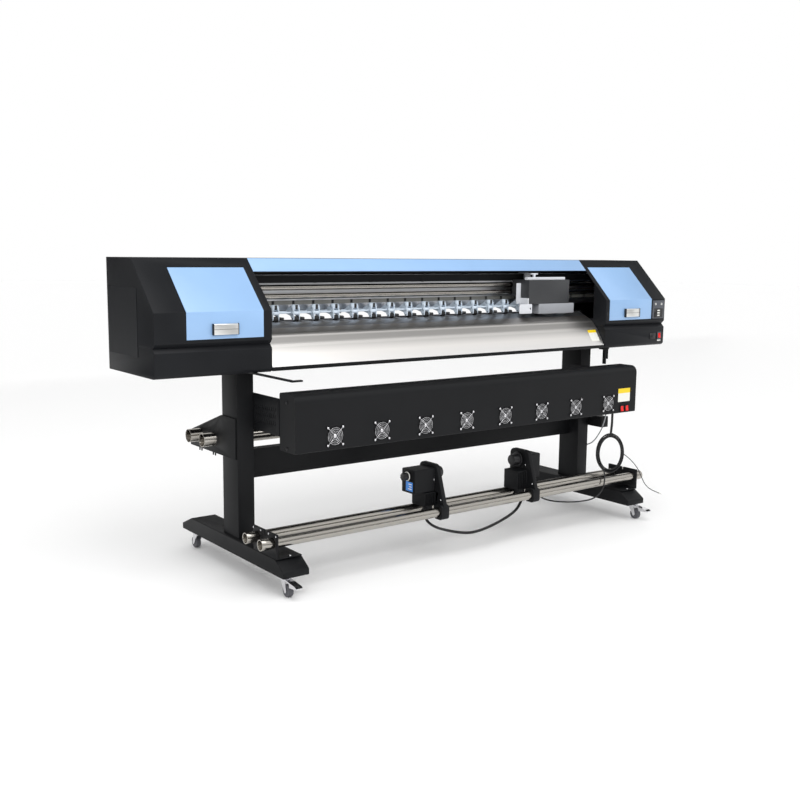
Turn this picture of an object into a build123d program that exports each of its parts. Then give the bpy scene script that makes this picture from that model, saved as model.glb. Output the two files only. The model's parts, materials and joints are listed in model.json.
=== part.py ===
from build123d import *
import math
import os

# A roll-fed wide-format sign printer on a stand, with a front dryer and a take-up.
# Millimetres. X runs along the machine, -Y is the operator's side, Z is up.
# The origin is on the floor under the middle of the stand.

# ---- Head casings -------------------------------------------------------------
head_length = 2930.0
head_front = -178.0
head_back = 275.0
head_top = 1309.0
knee_height = 1107.0          # where the 45 degree top slope meets the upright front
upper_bottom = 990.0          # lower edge of the upper casings' face
lower_top = 956.0             # upper edge of the lower casings' face
lower_bottom = 859.0
groove_depth = 16.0           # V groove between upper and lower casing
lower_edge_radius = 18.0
casing_wall = 3.0
trim_sheet = 2.5              # coloured strip along the roof's front edge
trim_length = 74.0
rear_slot_bottom = 1030.0     # the sheet enters through this slot in the rear wall
rear_slot_top = 1064.0
left_box_length = 498.0
right_box_length = 468.0
passage_front = 88.0          # material left in front of the carriage passage
passage_bottom = 1010.0
passage_top = 1290.0

# ---- Doors and handles --------------------------------------------------------
door_length = 330.0
left_door_inset = 37.0        # from the box's inner end
right_door_inset = 28.0
hinge_drop = 36.0             # hinge line below the casing's top
door_bottom = 1002.0
door_gap = 1.2
handle_length = 104.0
handle_height = 44.0
handle_depth = 14.0
handle_wall = 2.5
handle_centre_height = 1039.0
left_handle_inset = 170.5     # handle centre from the door's inner edge
right_handle_inset = 167.0    # handle centre from the door's inner edge

# ---- Stand --------------------------------------------------------------------
floor_clearance = 80.0        # underside of the feet
foot_top = 146.0
foot_width = 120.0
foot_front = -420.0
foot_back = 484.0
foot_front_knee = 62.0        # length of the sloped toe
foot_back_knee = 92.0
foot_toe_height = 26.0
foot_wall = 4.0
foot_inset = 460.0            # foot's middle inside the head's end
column_width = 76.0
column_front = -32.0
column_depth = 135.0
column_wall = 4.0
left_column_inset = 453.0
right_column_inset = 449.0
beam_height = 124.0
beam_depth = 50.0
beam_front = 37.0
beam_bottom = 383.0

# ---- Casters ------------------------------------------------------------------
wheel_radius = 26.0
wheel_width = 22.0
caster_trail = 20.0
caster_offset = 25.0          # caster centre outside the foot's centre line
front_caster_inset = 41.0
back_caster_inset = 88.0
caster_plate = 62.0
caster_plate_thick = 3.0
swivel_radius = 18.0
swivel_height = 5.0
axle_radius = 4.0
fork_sheet = 2.5
pedal_reach = 106.0           # brake pedal tip in front of the swivel axis
fork_half = 18.0              # fork's crown along its trail
axle_boss = 9.0

# ---- Clearances ---------------------------------------------------------------
part_gap = 0.3                # between pieces on different bodies
running_gap = 0.05            # radial, a pin or shaft in its own bore

# ---- Media path ---------------------------------------------------------------
platen_top = 1042.0
platen_front = 5.0            # where the flat top starts to fall to the front
platen_nose = (-38.0, 1022.0)
platen_back = 140.0
platen_depth = 36.0
end_gap = 3.0                 # platen and apron stop short of the boxes
feed_radius = 12.0
feed_y = 27.0
feed_proud = 0.6
trough_gap = 2.0
apron_foot = (-176.0, 878.0)
apron_sheet = 5.0
pan_sheet = 3.0
base_top = 902.0
base_front = 40.0
base_back = 240.0
base_inset = 25.0
bearing_width = 15.0
bearing_offset = 12.0         # bearing pillar's middle outside the box's inner end

# ---- Pinch rollers ------------------------------------------------------------
pinch_count = 18
pinch_right_inset = 111.6
pinch_left_inset = 132.0
pinch_radius = 11.0
pinch_width = 22.0
pinch_axle_radius = 3.0
arm_sheet = 4.0
arm_gap = 0.9                 # between a roller's side and its arm's cheek
arm_pivot_y = 77.0
arm_pivot_height = 1080.0
pivot_rod_radius = 5.0
lift_rod_y = 40.0
lift_rod_height = 1079.0
lift_rod_radius = 4.0

# ---- Carriage guide -----------------------------------------------------------
guide_front = 89.0
guide_depth = 80.0
guide_bottom = 1080.0
guide_height = 160.0
guide_inset = 75.0
guide_wall = 6.0
rail_height = 24.0
rail_depth = 24.0
guide_post_inset = 60.0
guide_post_width = 40.0
upper_rail_height = 1185.0
lower_rail_height = 1147.0
hanger_width = 12.0
hanger_every = 4              # pinch arms between two hangers

# ---- Carriage -----------------------------------------------------------------
carriage_park = 441.0         # parked carriage's left side from the right box
carriage_length = 284.0
runner_inset = 40.0           # runner's left end inside the cover's left side
runner_lip = 5.0              # hooks the rails' far edges
carriage_front = -63.0
carriage_top = 1211.0
carriage_floor = 1126.0
skirt_bottom = 1092.0
skirt_back = -11.0
cover_wall = 2.5
runner_back = 58.0
head_block_inset = 72.0
head_block_overhang = 40.0
head_block_bottom = 1042.0
end_plate_top = 1194.0
end_plate_width = 29.0        # upright strip left of the cover
end_plate_back = 0.0
end_foot_reach = 61.0
end_foot_overlap = 24.0
end_foot_bottom = 1045.0
end_hole_radius = 6.0
cap_strip_depth = 20.0        # grey strip on the cover's top
cap_strip_height = 13.0
antenna_inset = 68.0          # small T-shaped bracket behind the strip
antenna_post = 12.0
antenna_width = 44.0
antenna_rise = 26.0
belt_clamp_inset = 104.0
belt_clamp_width = 40.0
nozzle_spacing = 100.0
nozzle_width = 68.0
nozzle_drop = 3.0
end_plate_sheet = 4.0
belt_y = 125.0
belt_height = 12.0
belt_level = 1250.0
belt_sheet = 2.0
pulley_radius = 14.0
pulley_inset = 40.0
motor_size = 56.0
motor_height = 76.0
cap_tray_inset = 63.0         # cap station's left end inside the right box
cap_tray_length = 270.0
cap_tray_front = -80.0
cap_tray_back = 30.0
cap_tray_top = 1000.0
cap_tray_floor = 960.0
cap_tray_wall = 4.0
cap_top = 1034.0
cap_width = 72.0
cap_depth = 44.0

# ---- Dryer --------------------------------------------------------------------
dryer_left_inset = 493.0
dryer_right_inset = 428.0
dryer_front = -361.0
dryer_back = -241.0
dryer_bottom = 552.0
dryer_top = 785.0
dryer_shoulder = 34.0
dryer_sheet = 2.0
fan_count = 8
fan_left_inset = 184.5
fan_right_inset = 207.5
fan_height = 609.0
fan_size = 80.0
fan_depth = 25.0
fan_bore = 76.0
fan_hole_pitch = 71.5
blade_count = 7
hub_radius = 17.0
dryer_bracket_top = 760.0
dryer_bracket_bottom = 607.0
bracket_sheet = 3.0
bracket_flange = 32.0
bracket_reach = 70.0          # plate's overlap with the column
slot_rows = 3
slots_in_row = 12
slot_pitch = 15.0
slot_row_pitch = 28.0
slot_first_row = 655.0
slot_size = (3.0, 19.0)
slot_tilt = 18.0
junction_box_size = (50.0, 103.0, 57.0)
junction_box_front = -127.0
junction_box_bottom = 431.0
junction_tab = 44.0

# ---- Supply rolls -------------------------------------------------------------
supply_radius = 29.0
supply_wall = 3.0
supply_height = 541.0
supply_first = 174.0
supply_pitch = 130.0
supply_overhang = 58.0
supply_plate = 6.0
supply_bottom = 483.0
supply_top = 655.0
supply_tip = 551.0
supply_back = 400.0

# ---- Take-up ------------------------------------------------------------------
rail_radius = 21.0
rail_tube_wall = 2.0
takeup_height = 207.0
takeup_front = -338.0
takeup_back = -218.0
takeup_overhang = 60.0
collar_wall = 2.0
collar_length = 44.0
takeup_plate = 8.0
takeup_plate_offset = 55.0
takeup_plate_top = 247.0
takeup_plate_margin = 13.0    # plate beyond each tube
takeup_shelf_thick = 5.0
takeup_notch = (10.0, 14.0)
unit_top = 414.0
unit_clearance = 4.0          # waist above the rails
unit_sheet = 20.0
clamp_length = 42.0
clamp_under = 12.0
clamp_wall = 9.0
clamp_round = 18.0
drive_unit_right = -200.0
idler_unit_left = 338.0
chuck_y = -250.0
chuck_height = 366.0
chuck_radius = 25.2           # fits a 2 inch paper core
chuck_shaft = 10.0
flange_radius = 36.0
flange_thick = 6.0
chuck_neck = 10.0
chuck_length = 34.0
box_front = -298.0
box_back = -205.0
drive_box_length = 110.0
drive_box_bottom = 291.0
drive_box_height = 106.0
idler_box_length = 74.0
idler_box_bottom = 276.0
idler_box_height = 116.0
rib_clearance = 2.0
rib_count = 5
rib_pitch = 11.0
rib_slot = 5.0
drive_fin_length = 60.0
idler_fin_top = 320.0
screen_size = (56.0, 52.0)
screen_inset = 6.0
screen_thick = 4.0
knob_radius = 17.0
knob_length = 24.0
knob_gap = 8.0
knob_flutes = 8
flute_radius = 4.0

# ---- Small outside pieces ------------------------------------------------------
arm_offset = 23.0
arm_width = 16.0
arm_thick = 7.0
arm_front = -458.0
arm_hook = 40.0
hook_reach = 31.0
hook_front = -165.0
hook_depth = 30.0
hook_sheet = 8.0
hook_spacing = 14.0
hook_long = 84.0
hook_short = 58.0

# ---- Switches -----------------------------------------------------------------
power_switch_inset = 37.0
power_switch_height = 910.0
dryer_switch_height = 574.0
dryer_switch_inset = 102.0
dryer_switch_pitch = 37.0
rocker_width = 18.0
rocker_height = 26.0
rocker_gap = 1.5
rocker_tilt = 8.0

# ---- Cables -------------------------------------------------------------------
link_diameter = 13.0
lead_diameter = 12.0
motor_diameter = 7.0
signal_diameter = 6.0
wire_diameter = 4.0
connector_size = (10.0, 7.0, 18.0)

# ---- Values that follow from the ones above -----------------------------------
box_end = head_length / 2
left_box_inner = -box_end + left_box_length
right_box_inner = box_end - right_box_length
slope_top_y = head_front + head_top - knee_height
seam_height = (upper_bottom + lower_top) / 2
groove_back = head_front + groove_depth
slope_normal = (-math.sqrt(0.5), math.sqrt(0.5))
column_top = lower_bottom
foot_centre = box_end - foot_inset
foot_pair = (-foot_centre, foot_centre)
left_column_centre = left_column_inset - box_end
right_column_centre = box_end - right_column_inset
front_caster_y = foot_front + front_caster_inset
back_caster_y = foot_back - back_caster_inset
column_pair = (left_column_centre, right_column_centre)
feed_height = platen_top + feed_proud - feed_radius
pinch_height = feed_height + feed_radius + part_gap + pinch_radius
pinch_first = left_box_inner + pinch_left_inset
pinch_pitch = (right_box_inner - pinch_right_inset - pinch_first) / (pinch_count - 1)
pinch_places = [pinch_first + i * pinch_pitch for i in range(pinch_count)]
dryer_left = dryer_left_inset - box_end
dryer_right = box_end - dryer_right_inset
fan_first = dryer_left + fan_left_inset
fan_pitch = (dryer_right - fan_right_inset - fan_first) / (fan_count - 1)
fan_places = [fan_first + fan_pitch * i for i in range(fan_count)]
dryer_switch_left = dryer_right - dryer_switch_inset
power_switch = (box_end - power_switch_inset, power_switch_height)
base_length = head_length - 2 * base_inset
guide_length = head_length - 2 * guide_inset
pulley_reach = box_end - pulley_inset
guide_top = guide_bottom + guide_height
left_door_right = left_box_inner - left_door_inset
left_door_left = left_door_right - door_length
right_door_left = right_box_inner + right_door_inset
right_door_right = right_door_left + door_length
takeup_tubes = (takeup_front, takeup_back)
supply_tubes = (supply_first, supply_first + supply_pitch)
drive_plate_left = drive_unit_right - unit_sheet
idler_plate_right = idler_unit_left + unit_sheet
carriage_left = right_box_inner - carriage_park
carriage_right = carriage_left + carriage_length
head_block_left = carriage_left + head_block_inset
head_block_right = carriage_right + head_block_overhang
end_foot_left = carriage_left - end_foot_reach
end_foot_right = carriage_left + end_foot_overlap
antenna_x = carriage_left + antenna_inset
belt_clamp_x = carriage_left + belt_clamp_inset
supply_reach = right_column_centre + column_width / 2 + supply_overhang
takeup_plate_centre = foot_centre + takeup_plate_offset
takeup_shelf_end = foot_centre - takeup_plate_offset
takeup_reach = takeup_plate_centre + takeup_overhang
collar_radius = rail_radius + collar_wall
unit_waist = takeup_height + rail_radius + unit_clearance
clamp_bottom = takeup_height - rail_radius - clamp_under
ribs_bottom = takeup_height + rail_radius + rib_clearance


# ---- Helpers ------------------------------------------------------------------
def block(x0, x1, y0, y1, z0, z1):
    """A box given by its faces."""
    return Pos((x0 + x1) / 2, (y0 + y1) / 2, (z0 + z1) / 2) * Box(x1 - x0, y1 - y0, z1 - z0)


def outline_x(points, x0, x1, radii=None):
    """A solid with the given outline in Y and Z, from x0 to x1."""
    corners = [(0.0, y, z) for y, z in points]
    if radii is None:
        line = Polyline(*corners, close=True)
    else:
        line = FilletPolyline(*corners, radius=radii, close=True)
    return Pos(x0, 0, 0) * extrude(make_face(line), x1 - x0, dir=(1, 0, 0))


def outline_y(points, y0, y1, radii=None):
    """A solid with the given outline in X and Z, from y0 to y1."""
    corners = [(x, 0.0, z) for x, z in points]
    if radii is None:
        line = Polyline(*corners, close=True)
    else:
        line = FilletPolyline(*corners, radius=radii, close=True)
    return Pos(0, y0, 0) * extrude(make_face(line), y1 - y0, dir=(0, 1, 0))


def rod_x(x0, x1, y, z, radius):
    return Pos((x0 + x1) / 2, y, z) * Rot(0, 90, 0) * Cylinder(radius, x1 - x0)


def rod_y(x, y0, y1, z, radius):
    return Pos(x, (y0 + y1) / 2, z) * Rot(90, 0, 0) * Cylinder(radius, y1 - y0)


def rod_z(x, y, z0, z1, radius):
    return Pos(x, y, (z0 + z1) / 2) * Cylinder(radius, z1 - z0)


def slope(distance_down, depth=0.0):
    """A point on the head's 45 degree slope, measured down from its top edge, and in from it."""
    y = slope_top_y - distance_down * math.sqrt(0.5) - depth * slope_normal[0]
    z = head_top - distance_down * math.sqrt(0.5) - depth * slope_normal[1]
    return (y, z)


def knee(depth):
    """The corner between slope and upright front, on a surface that far inside."""
    return (head_front + depth, knee_height - depth * math.tan(math.radians(22.5)))


hinge_distance = hinge_drop * math.sqrt(2)


# ---- Stand --------------------------------------------------------------------
def foot(centre):
    half = foot_width / 2
    toe_top = floor_clearance + foot_toe_height
    sides = [
        (foot_front, floor_clearance),
        (foot_front, toe_top),
        (foot_front + foot_front_knee, foot_top),
        (foot_back - foot_back_knee, foot_top),
        (foot_back, toe_top),
        (foot_back, floor_clearance),
    ]
    body = outline_x(sides, centre - half, centre + half)
    room = block(
        centre - half + foot_wall, centre + half - foot_wall,
        foot_front + foot_front_knee, foot_back - foot_back_knee,
        floor_clearance + foot_wall, foot_top - foot_wall,
    )
    return body - room


def columns():
    half = column_width / 2
    back = column_front + column_depth
    posts = []
    for centre in column_pair:
        post = block(centre - half, centre + half, column_front, back, foot_top, column_top)
        room = block(
            centre - half + column_wall, centre + half - column_wall,
            column_front + column_wall, back - column_wall,
            foot_top + column_wall, column_top - column_wall,
        )
        posts.append(post - room)
    return posts


def crossbeam():
    left = left_column_centre + column_width / 2
    right = right_column_centre - column_width / 2
    top = beam_bottom + beam_height
    back = beam_front + beam_depth
    tube = block(left, right, beam_front, back, beam_bottom, top)
    room = block(
        left + column_wall, right - column_wall, beam_front + column_wall, back - column_wall,
        beam_bottom + column_wall, top - column_wall,
    )
    return [tube - room]


# ---- Casters ------------------------------------------------------------------
def caster_places():
    """Each caster's name, swivel axis and which way it trails."""
    places = []
    for side, name in ((-1, "left"), (1, "right")):
        x = side * (foot_centre + caster_offset)
        places.append((f"front_{name}", x, front_caster_y, -1))
        places.append((f"back_{name}", x, back_caster_y, 1))
    return places


def caster_plates():
    plates = []
    for name, x, y, trail in caster_places():
        half = caster_plate / 2
        under = floor_clearance - caster_plate_thick
        plate = block(x - half, x + half, y - half, y + half, under, floor_clearance)
        plate = fillet(plate.edges().filter_by(Axis.Z), 6)
        ring = rod_z(x, y, under - swivel_height, under, swivel_radius)
        bore = rod_z(x, y, under - swivel_height - 1, under, axle_radius + running_gap)
        plates.append(plate + ring - bore)
    return plates


def caster_fork(x, y, trail, braked):
    crown_top = floor_clearance - caster_plate_thick - swivel_height - part_gap
    crown_bottom = crown_top - 2 * fork_sheet
    inner = wheel_width / 2 + 1.5
    outer = inner + fork_sheet
    axle_y = y + trail * caster_trail
    crown = block(x - outer, x + outer, y - fork_half, y + fork_half, crown_bottom, crown_top)
    fork = crown + rod_z(x, y, crown_top - 1, floor_clearance - caster_plate_thick - 1, axle_radius)
    for side in (-1, 1):
        low = min(side * inner, side * outer)
        high = max(side * inner, side * outer)
        cheek = outline_x(
            [
                (y - fork_half, crown_top), (y + fork_half, crown_top), (axle_y + axle_boss, wheel_radius),
                (axle_y + axle_radius, wheel_radius - axle_boss),
                (axle_y - axle_radius, wheel_radius - axle_boss),
                (axle_y - axle_boss, wheel_radius),
            ],
            x + low, x + high,
        )
        fork = fork + cheek
    fork = fork + rod_x(x - outer, x + outer, axle_y, wheel_radius, axle_radius)
    if braked:
        tip = y + trail * pedal_reach
        pedal = outline_x(
            [
                (y + trail * 14, crown_top), (tip + 12, 62), (tip, 56), (tip, 52),
                (axle_y + trail * 32, 46), (axle_y + trail * 29, crown_bottom - 6),
                (y + trail * 14, crown_bottom),
            ],
            x - outer, x + outer,
        )
        fork = fork + pedal
    return [fork]


def caster_wheel(x, y, trail):
    axle_y = y + trail * caster_trail
    wheel = rod_x(x - wheel_width / 2, x + wheel_width / 2, axle_y, wheel_radius, wheel_radius)
    wheel = fillet(wheel.edges().filter_by(GeomType.CIRCLE), 3)
    bore = axle_radius + running_gap
    return [wheel - rod_x(x - wheel_width, x + wheel_width, axle_y, wheel_radius, bore)]


# ---- Head casings -------------------------------------------------------------
def upper_casing(x0, x1, inner_side, door_x0, door_x1):
    """A closed shell with a bent front, a door opening and a carriage passage."""
    wall = casing_wall
    outer = [
        (groove_back, seam_height), (head_front, upper_bottom), (head_front, knee_height),
        (slope_top_y, head_top), (head_back, head_top), (head_back, seam_height),
    ]
    inner_top = (slope_top_y + wall * math.tan(math.radians(22.5)), head_top - wall)
    inner = [
        (groove_back + wall, seam_height - wall), (groove_back + wall, seam_height + wall / 2),
        (head_front + wall, upper_bottom + wall / 2), knee(wall), inner_top,
        (head_back - wall, head_top - wall), (head_back - wall, seam_height - wall),
    ]
    shell = outline_x(outer, x0, x1) - outline_x(inner, x0 + wall, x1 - wall)
    passage = outline_x(inner, inner_side - 2 * wall, inner_side + 2 * wall)
    passage = passage & block(
        inner_side - 2 * wall, inner_side + 2 * wall, head_front + passage_front, base_back,
        passage_bottom, passage_top,
    )
    reach = 20.0
    opening = outline_x(
        [
            (head_front - reach, door_bottom - door_gap), (head_front + reach, door_bottom - door_gap),
            knee(reach), slope(hinge_distance - door_gap, reach),
            slope(hinge_distance - door_gap, -reach), knee(-reach),
        ],
        door_x0 - door_gap, door_x1 + door_gap,
    )
    return shell - passage - opening


def left_upper_casing():
    return [upper_casing(-box_end, left_box_inner, left_box_inner, left_door_left, left_door_right)]


def right_upper_casing():
    return [upper_casing(right_box_inner, box_end, right_box_inner, right_door_left, right_door_right)]


def lower_casing(x0, x1, inner_side):
    wall = casing_wall
    outer = [
        (groove_back, seam_height), (head_front, lower_top), (head_front, lower_bottom),
        (head_back, lower_bottom), (head_back, seam_height),
    ]
    inner = [
        (groove_back + wall, seam_height + wall), (groove_back + wall, seam_height - wall / 2),
        (head_front + wall, lower_top - wall / 2), (head_front + wall, lower_bottom + wall),
        (head_back - wall, lower_bottom + wall), (head_back - wall, seam_height + wall),
    ]
    shell = outline_x(outer, x0, x1, [0, 0, lower_edge_radius, 4, 0])
    shell = shell - outline_x(inner, x0 + wall, x1 - wall, [0, 0, 0, lower_edge_radius - wall, 1, 0])
    beam_way = block(
        inner_side - 2 * wall, inner_side + 2 * wall, base_front - part_gap, base_back + part_gap,
        lower_bottom + wall, seam_height + wall,
    )
    return shell - beam_way


def left_lower_casing():
    return [lower_casing(-box_end, left_box_inner, left_box_inner)]


def right_lower_casing():
    x, z = power_switch
    room = block(
        x - rocker_width / 2 - rocker_gap, x + rocker_width / 2 + rocker_gap,
        head_front - 1, head_front + 3 * casing_wall,
        z - rocker_height / 2 - rocker_gap, z + rocker_height / 2 + rocker_gap,
    )
    return [lower_casing(right_box_inner, box_end, right_box_inner) - room]


def top_cover():
    """The roof, the slope under the coloured strip and the rear wall, folded from one sheet."""
    wall = casing_wall
    left = left_box_inner + part_gap
    right = right_box_inner - part_gap
    trim = trim_sheet
    bend = math.tan(math.radians(22.5))
    outer = [
        slope(trim_length, trim), slope(trim * bend, trim), (slope_top_y + trim, head_top),
        (head_back, head_top), (head_back, rear_slot_top),
        (head_back - wall, rear_slot_top), (head_back - wall, head_top - wall),
        (slope_top_y + trim + wall * bend, head_top - wall), slope(trim_length, trim + wall),
    ]
    return [outline_x(outer, left, right)]


def cover_trim():
    left = left_box_inner + part_gap
    right = right_box_inner - part_gap
    strip = [
        slope(0), (slope_top_y + trim_sheet, head_top),
        slope(trim_sheet * math.tan(math.radians(22.5)), trim_sheet),
        slope(trim_length, trim_sheet), slope(trim_length),
    ]
    return [outline_x(strip, left, right)]


def door(x0, x1):
    wall = casing_wall
    sheet = [
        slope(hinge_distance + door_gap), knee(0), (head_front, door_bottom),
        (head_front + wall, door_bottom), knee(wall), slope(hinge_distance + door_gap, wall),
    ]
    return [outline_x(sheet, x0, x1)]


def door_handle(centre):
    """A pull cup, open at its lower side."""
    half = handle_length / 2
    low = handle_centre_height - handle_height / 2
    high = handle_centre_height + handle_height / 2
    front = head_front - handle_depth
    cup = block(centre - half, centre + half, front, head_front, low, high)
    cup = fillet(cup.edges().filter_by(Axis.X).group_by(Axis.Y)[0], 5)
    finger = block(
        centre - half + handle_wall * 2, centre + half - handle_wall * 2,
        front + handle_wall, head_front - handle_wall / 2,
        low - 1, high - handle_wall * 3,
    )
    return [cup - finger]


# ---- Head frame ---------------------------------------------------------------
def head_base():
    left = left_box_inner + end_gap
    right = right_box_inner - end_gap
    floor = lower_bottom + casing_wall
    pan = block(left, right, apron_foot[0], head_back - casing_wall, floor, floor + pan_sheet)
    lip = block(left, right, apron_foot[0], apron_foot[0] + pan_sheet, floor, apron_foot[1])
    beam = block(-base_length / 2, base_length / 2, base_front, base_back, floor, base_top)
    room = block(
        -base_length / 2 - 1, base_length / 2 + 1, base_front + 2 * pan_sheet, base_back - 2 * pan_sheet,
        floor + pan_sheet, base_top - pan_sheet,
    )
    pieces = [pan + lip + beam - room]
    pieces.append(block(left, right, head_back - casing_wall, head_back, floor, rear_slot_bottom))
    for x in (left_box_inner - bearing_offset, right_box_inner + bearing_offset):
        pieces.append(feed_bearing(x))
    return pieces


def feed_bearing(x):
    """A pillar that carries one end of the feed shaft."""
    half = bearing_width / 2
    post = outline_x(
        [
            (base_front + 4, base_top), (base_front + 4, feed_height - 22), (feed_y - 18, feed_height - 22),
            (feed_y - 18, feed_height + 16), (feed_y + 40, feed_height + 16), (feed_y + 40, base_top),
        ],
        x - half, x + half,
    )
    return post - rod_x(x - half - 1, x + half + 1, feed_y, feed_height, feed_radius + running_gap)


def platen():
    left = left_box_inner + end_gap
    right = right_box_inner - end_gap
    trough = feed_radius + trough_gap
    under = platen_top - platen_depth
    trough_floor = feed_height - trough
    web = 8.0
    profile = [
        platen_nose, (platen_front, platen_top), (feed_y - trough, platen_top),
        (feed_y - trough, trough_floor), (feed_y + trough, trough_floor), (feed_y + trough, platen_top),
        (platen_back, platen_top), (platen_back, under), (feed_y + 51, under), (feed_y + 51, base_top),
        (feed_y + 51 - web, base_top), (feed_y + 51 - web, under), (platen_front, under),
        (platen_nose[0], platen_nose[1] - 12),
    ]
    return [outline_x(profile, left, right)]


def front_apron():
    """The curved heated plate that the printed sheet slides down."""
    left = left_box_inner + end_gap
    right = right_box_inner - end_gap
    nose_y, nose_z = platen_nose
    foot_y, foot_z = apron_foot
    upper = (nose_y - 42, nose_z - 19)
    middle = (nose_y - 88, nose_z - 66)
    profile = [
        platen_nose, upper, middle, apron_foot, (foot_y + apron_sheet, foot_z),
        (middle[0] + apron_sheet, middle[1] - 2), (upper[0] + 2, upper[1] - apron_sheet),
        (nose_y, nose_z - apron_sheet - 1),
    ]
    return [outline_x(profile, left, right, [0, 55, 90, 0, 0, 85, 50, 0])]


def guide_beam():
    half = guide_length / 2
    back = guide_front + guide_depth
    beam = block(-half, half, guide_front, back, guide_bottom, guide_top)
    room = block(
        -half - 1, half + 1, guide_front + guide_wall, back - guide_wall,
        guide_bottom + guide_wall, guide_top - guide_wall,
    )
    pieces = [beam - room]
    wide = guide_post_width / 2
    for x in (guide_post_inset - half, half - guide_post_inset):
        post = block(x - wide, x + wide, guide_front + guide_wall, back - guide_wall, base_top, guide_bottom)
        pieces.append(post)
    for x in hanger_places():
        pieces.append(pinch_hanger(x))
    return pieces


def hanger_places():
    """Between arms, so that no hanger meets an arm."""
    start = pinch_first - pinch_pitch / 2
    steps = range(0, pinch_count + 1, hanger_every)
    return [start + i * pinch_pitch for i in steps if i < pinch_count] + [pinch_places[-1] + pinch_pitch / 2]


def pinch_hanger(x):
    half = hanger_width / 2
    plate = outline_x(
        [
            (guide_front + 14, guide_bottom), (guide_front + 14, guide_bottom - 14),
            (arm_pivot_y - 10, arm_pivot_height - 12), (arm_pivot_y - 12, arm_pivot_height + 4),
            (arm_pivot_y - 4, arm_pivot_height + 12), (guide_front, arm_pivot_height + 14),
            (guide_front, guide_bottom),
        ],
        x - half, x + half,
    )
    bore = pivot_rod_radius + running_gap
    return plate - rod_x(x - half - 1, x + half + 1, arm_pivot_y, arm_pivot_height, bore)


def guide_rails():
    rails = []
    half = guide_length / 2 - guide_wall
    for level in (upper_rail_height, lower_rail_height):
        low = level - rail_height / 2
        rail = block(-half, half, guide_front - rail_depth, guide_front, low, low + rail_height)
        front_edges = rail.edges().filter_by(Axis.X).group_by(Axis.Y)[0]
        rails.append(fillet(front_edges, rail_height / 2 - 1))
    return rails


# ---- Pinch rollers and feed ---------------------------------------------------
def feed_shaft():
    left = left_box_inner - bearing_offset - bearing_width
    right = right_box_inner + bearing_offset + bearing_width
    return [rod_x(left, right, feed_y, feed_height, feed_radius)]


def pinch_arms():
    """All the arms with the two rods that join them, which lift together."""
    left = hanger_places()[0] - hanger_width
    right = hanger_places()[-1] + hanger_width
    frame = rod_x(left, right, arm_pivot_y, arm_pivot_height, pivot_rod_radius)
    frame = frame + rod_x(left, right, lift_rod_y, lift_rod_height, lift_rod_radius)
    for x in pinch_places:
        frame = frame + pinch_arm(x)
    return [frame]


def pinch_arm(x):
    inner = pinch_width / 2 + arm_gap
    outer = inner + arm_sheet
    side = [
        (feed_y - 7, pinch_height - 5), (feed_y - 9, pinch_height + 4),
        (lift_rod_y - 20, lift_rod_height + 22),
        (lift_rod_y - 6, lift_rod_height + 32), (lift_rod_y + 4, lift_rod_height + 30),
        (arm_pivot_y + 6, arm_pivot_height + 8), (arm_pivot_y + 8, arm_pivot_height - 7),
        (lift_rod_y + 6, lift_rod_height - 14), (feed_y + 7, pinch_height - 5),
    ]
    arm = outline_x(side, x - outer, x - inner) + outline_x(side, x + inner, x + outer)
    bridge = outline_x(
        [
            (lift_rod_y - 14, lift_rod_height + 12), (lift_rod_y - 6, lift_rod_height + 32),
            (lift_rod_y + 4, lift_rod_height + 30), (lift_rod_y + 4, lift_rod_height + 12),
        ],
        x - outer, x + outer,
    )
    bore = pinch_axle_radius + running_gap
    return arm + bridge - rod_x(x - outer - 1, x + outer + 1, feed_y, pinch_height, bore)


def pinch_wheels():
    """Rollers on one line, each on an axle between its arm's cheeks, which turn together."""
    wheels = []
    reach = pinch_width / 2 + arm_gap + arm_sheet
    for x in pinch_places:
        wheel = rod_x(x - pinch_width / 2, x + pinch_width / 2, feed_y, pinch_height, pinch_radius)
        wheel = fillet(wheel.edges().filter_by(GeomType.CIRCLE), 1.5)
        wheels.append(wheel + rod_x(x - reach, x + reach, feed_y, pinch_height, pinch_axle_radius))
    return wheels


# ---- Carriage -----------------------------------------------------------------
def carriage_runner():
    """The block that hooks both rails, with its clamp on the belt."""
    top = upper_rail_height + rail_height / 2 + part_gap
    bottom = lower_rail_height - rail_height / 2 - part_gap
    rail_face = guide_front - rail_depth - part_gap
    hook = guide_front - runner_lip + 1
    runner = outline_x(
        [
            (runner_back, carriage_floor), (runner_back, top + runner_lip), (hook, top + runner_lip),
            (hook, top), (rail_face, top), (rail_face, bottom),
            (hook, bottom), (hook, bottom - runner_lip), (rail_face, bottom - runner_lip),
            (rail_face, carriage_floor),
        ],
        carriage_left + runner_inset, carriage_right,
    )
    left = belt_clamp_x - belt_clamp_width / 2
    right = belt_clamp_x + belt_clamp_width / 2
    under_belt = belt_level - belt_height / 2
    belt_front = belt_y - pulley_radius - belt_sheet - part_gap
    clamp = block(left, right, runner_back, rail_face, top + runner_lip, under_belt)
    return runner + clamp + block(left, right, runner_back, belt_front, guide_top + 2 * part_gap, under_belt)


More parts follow.
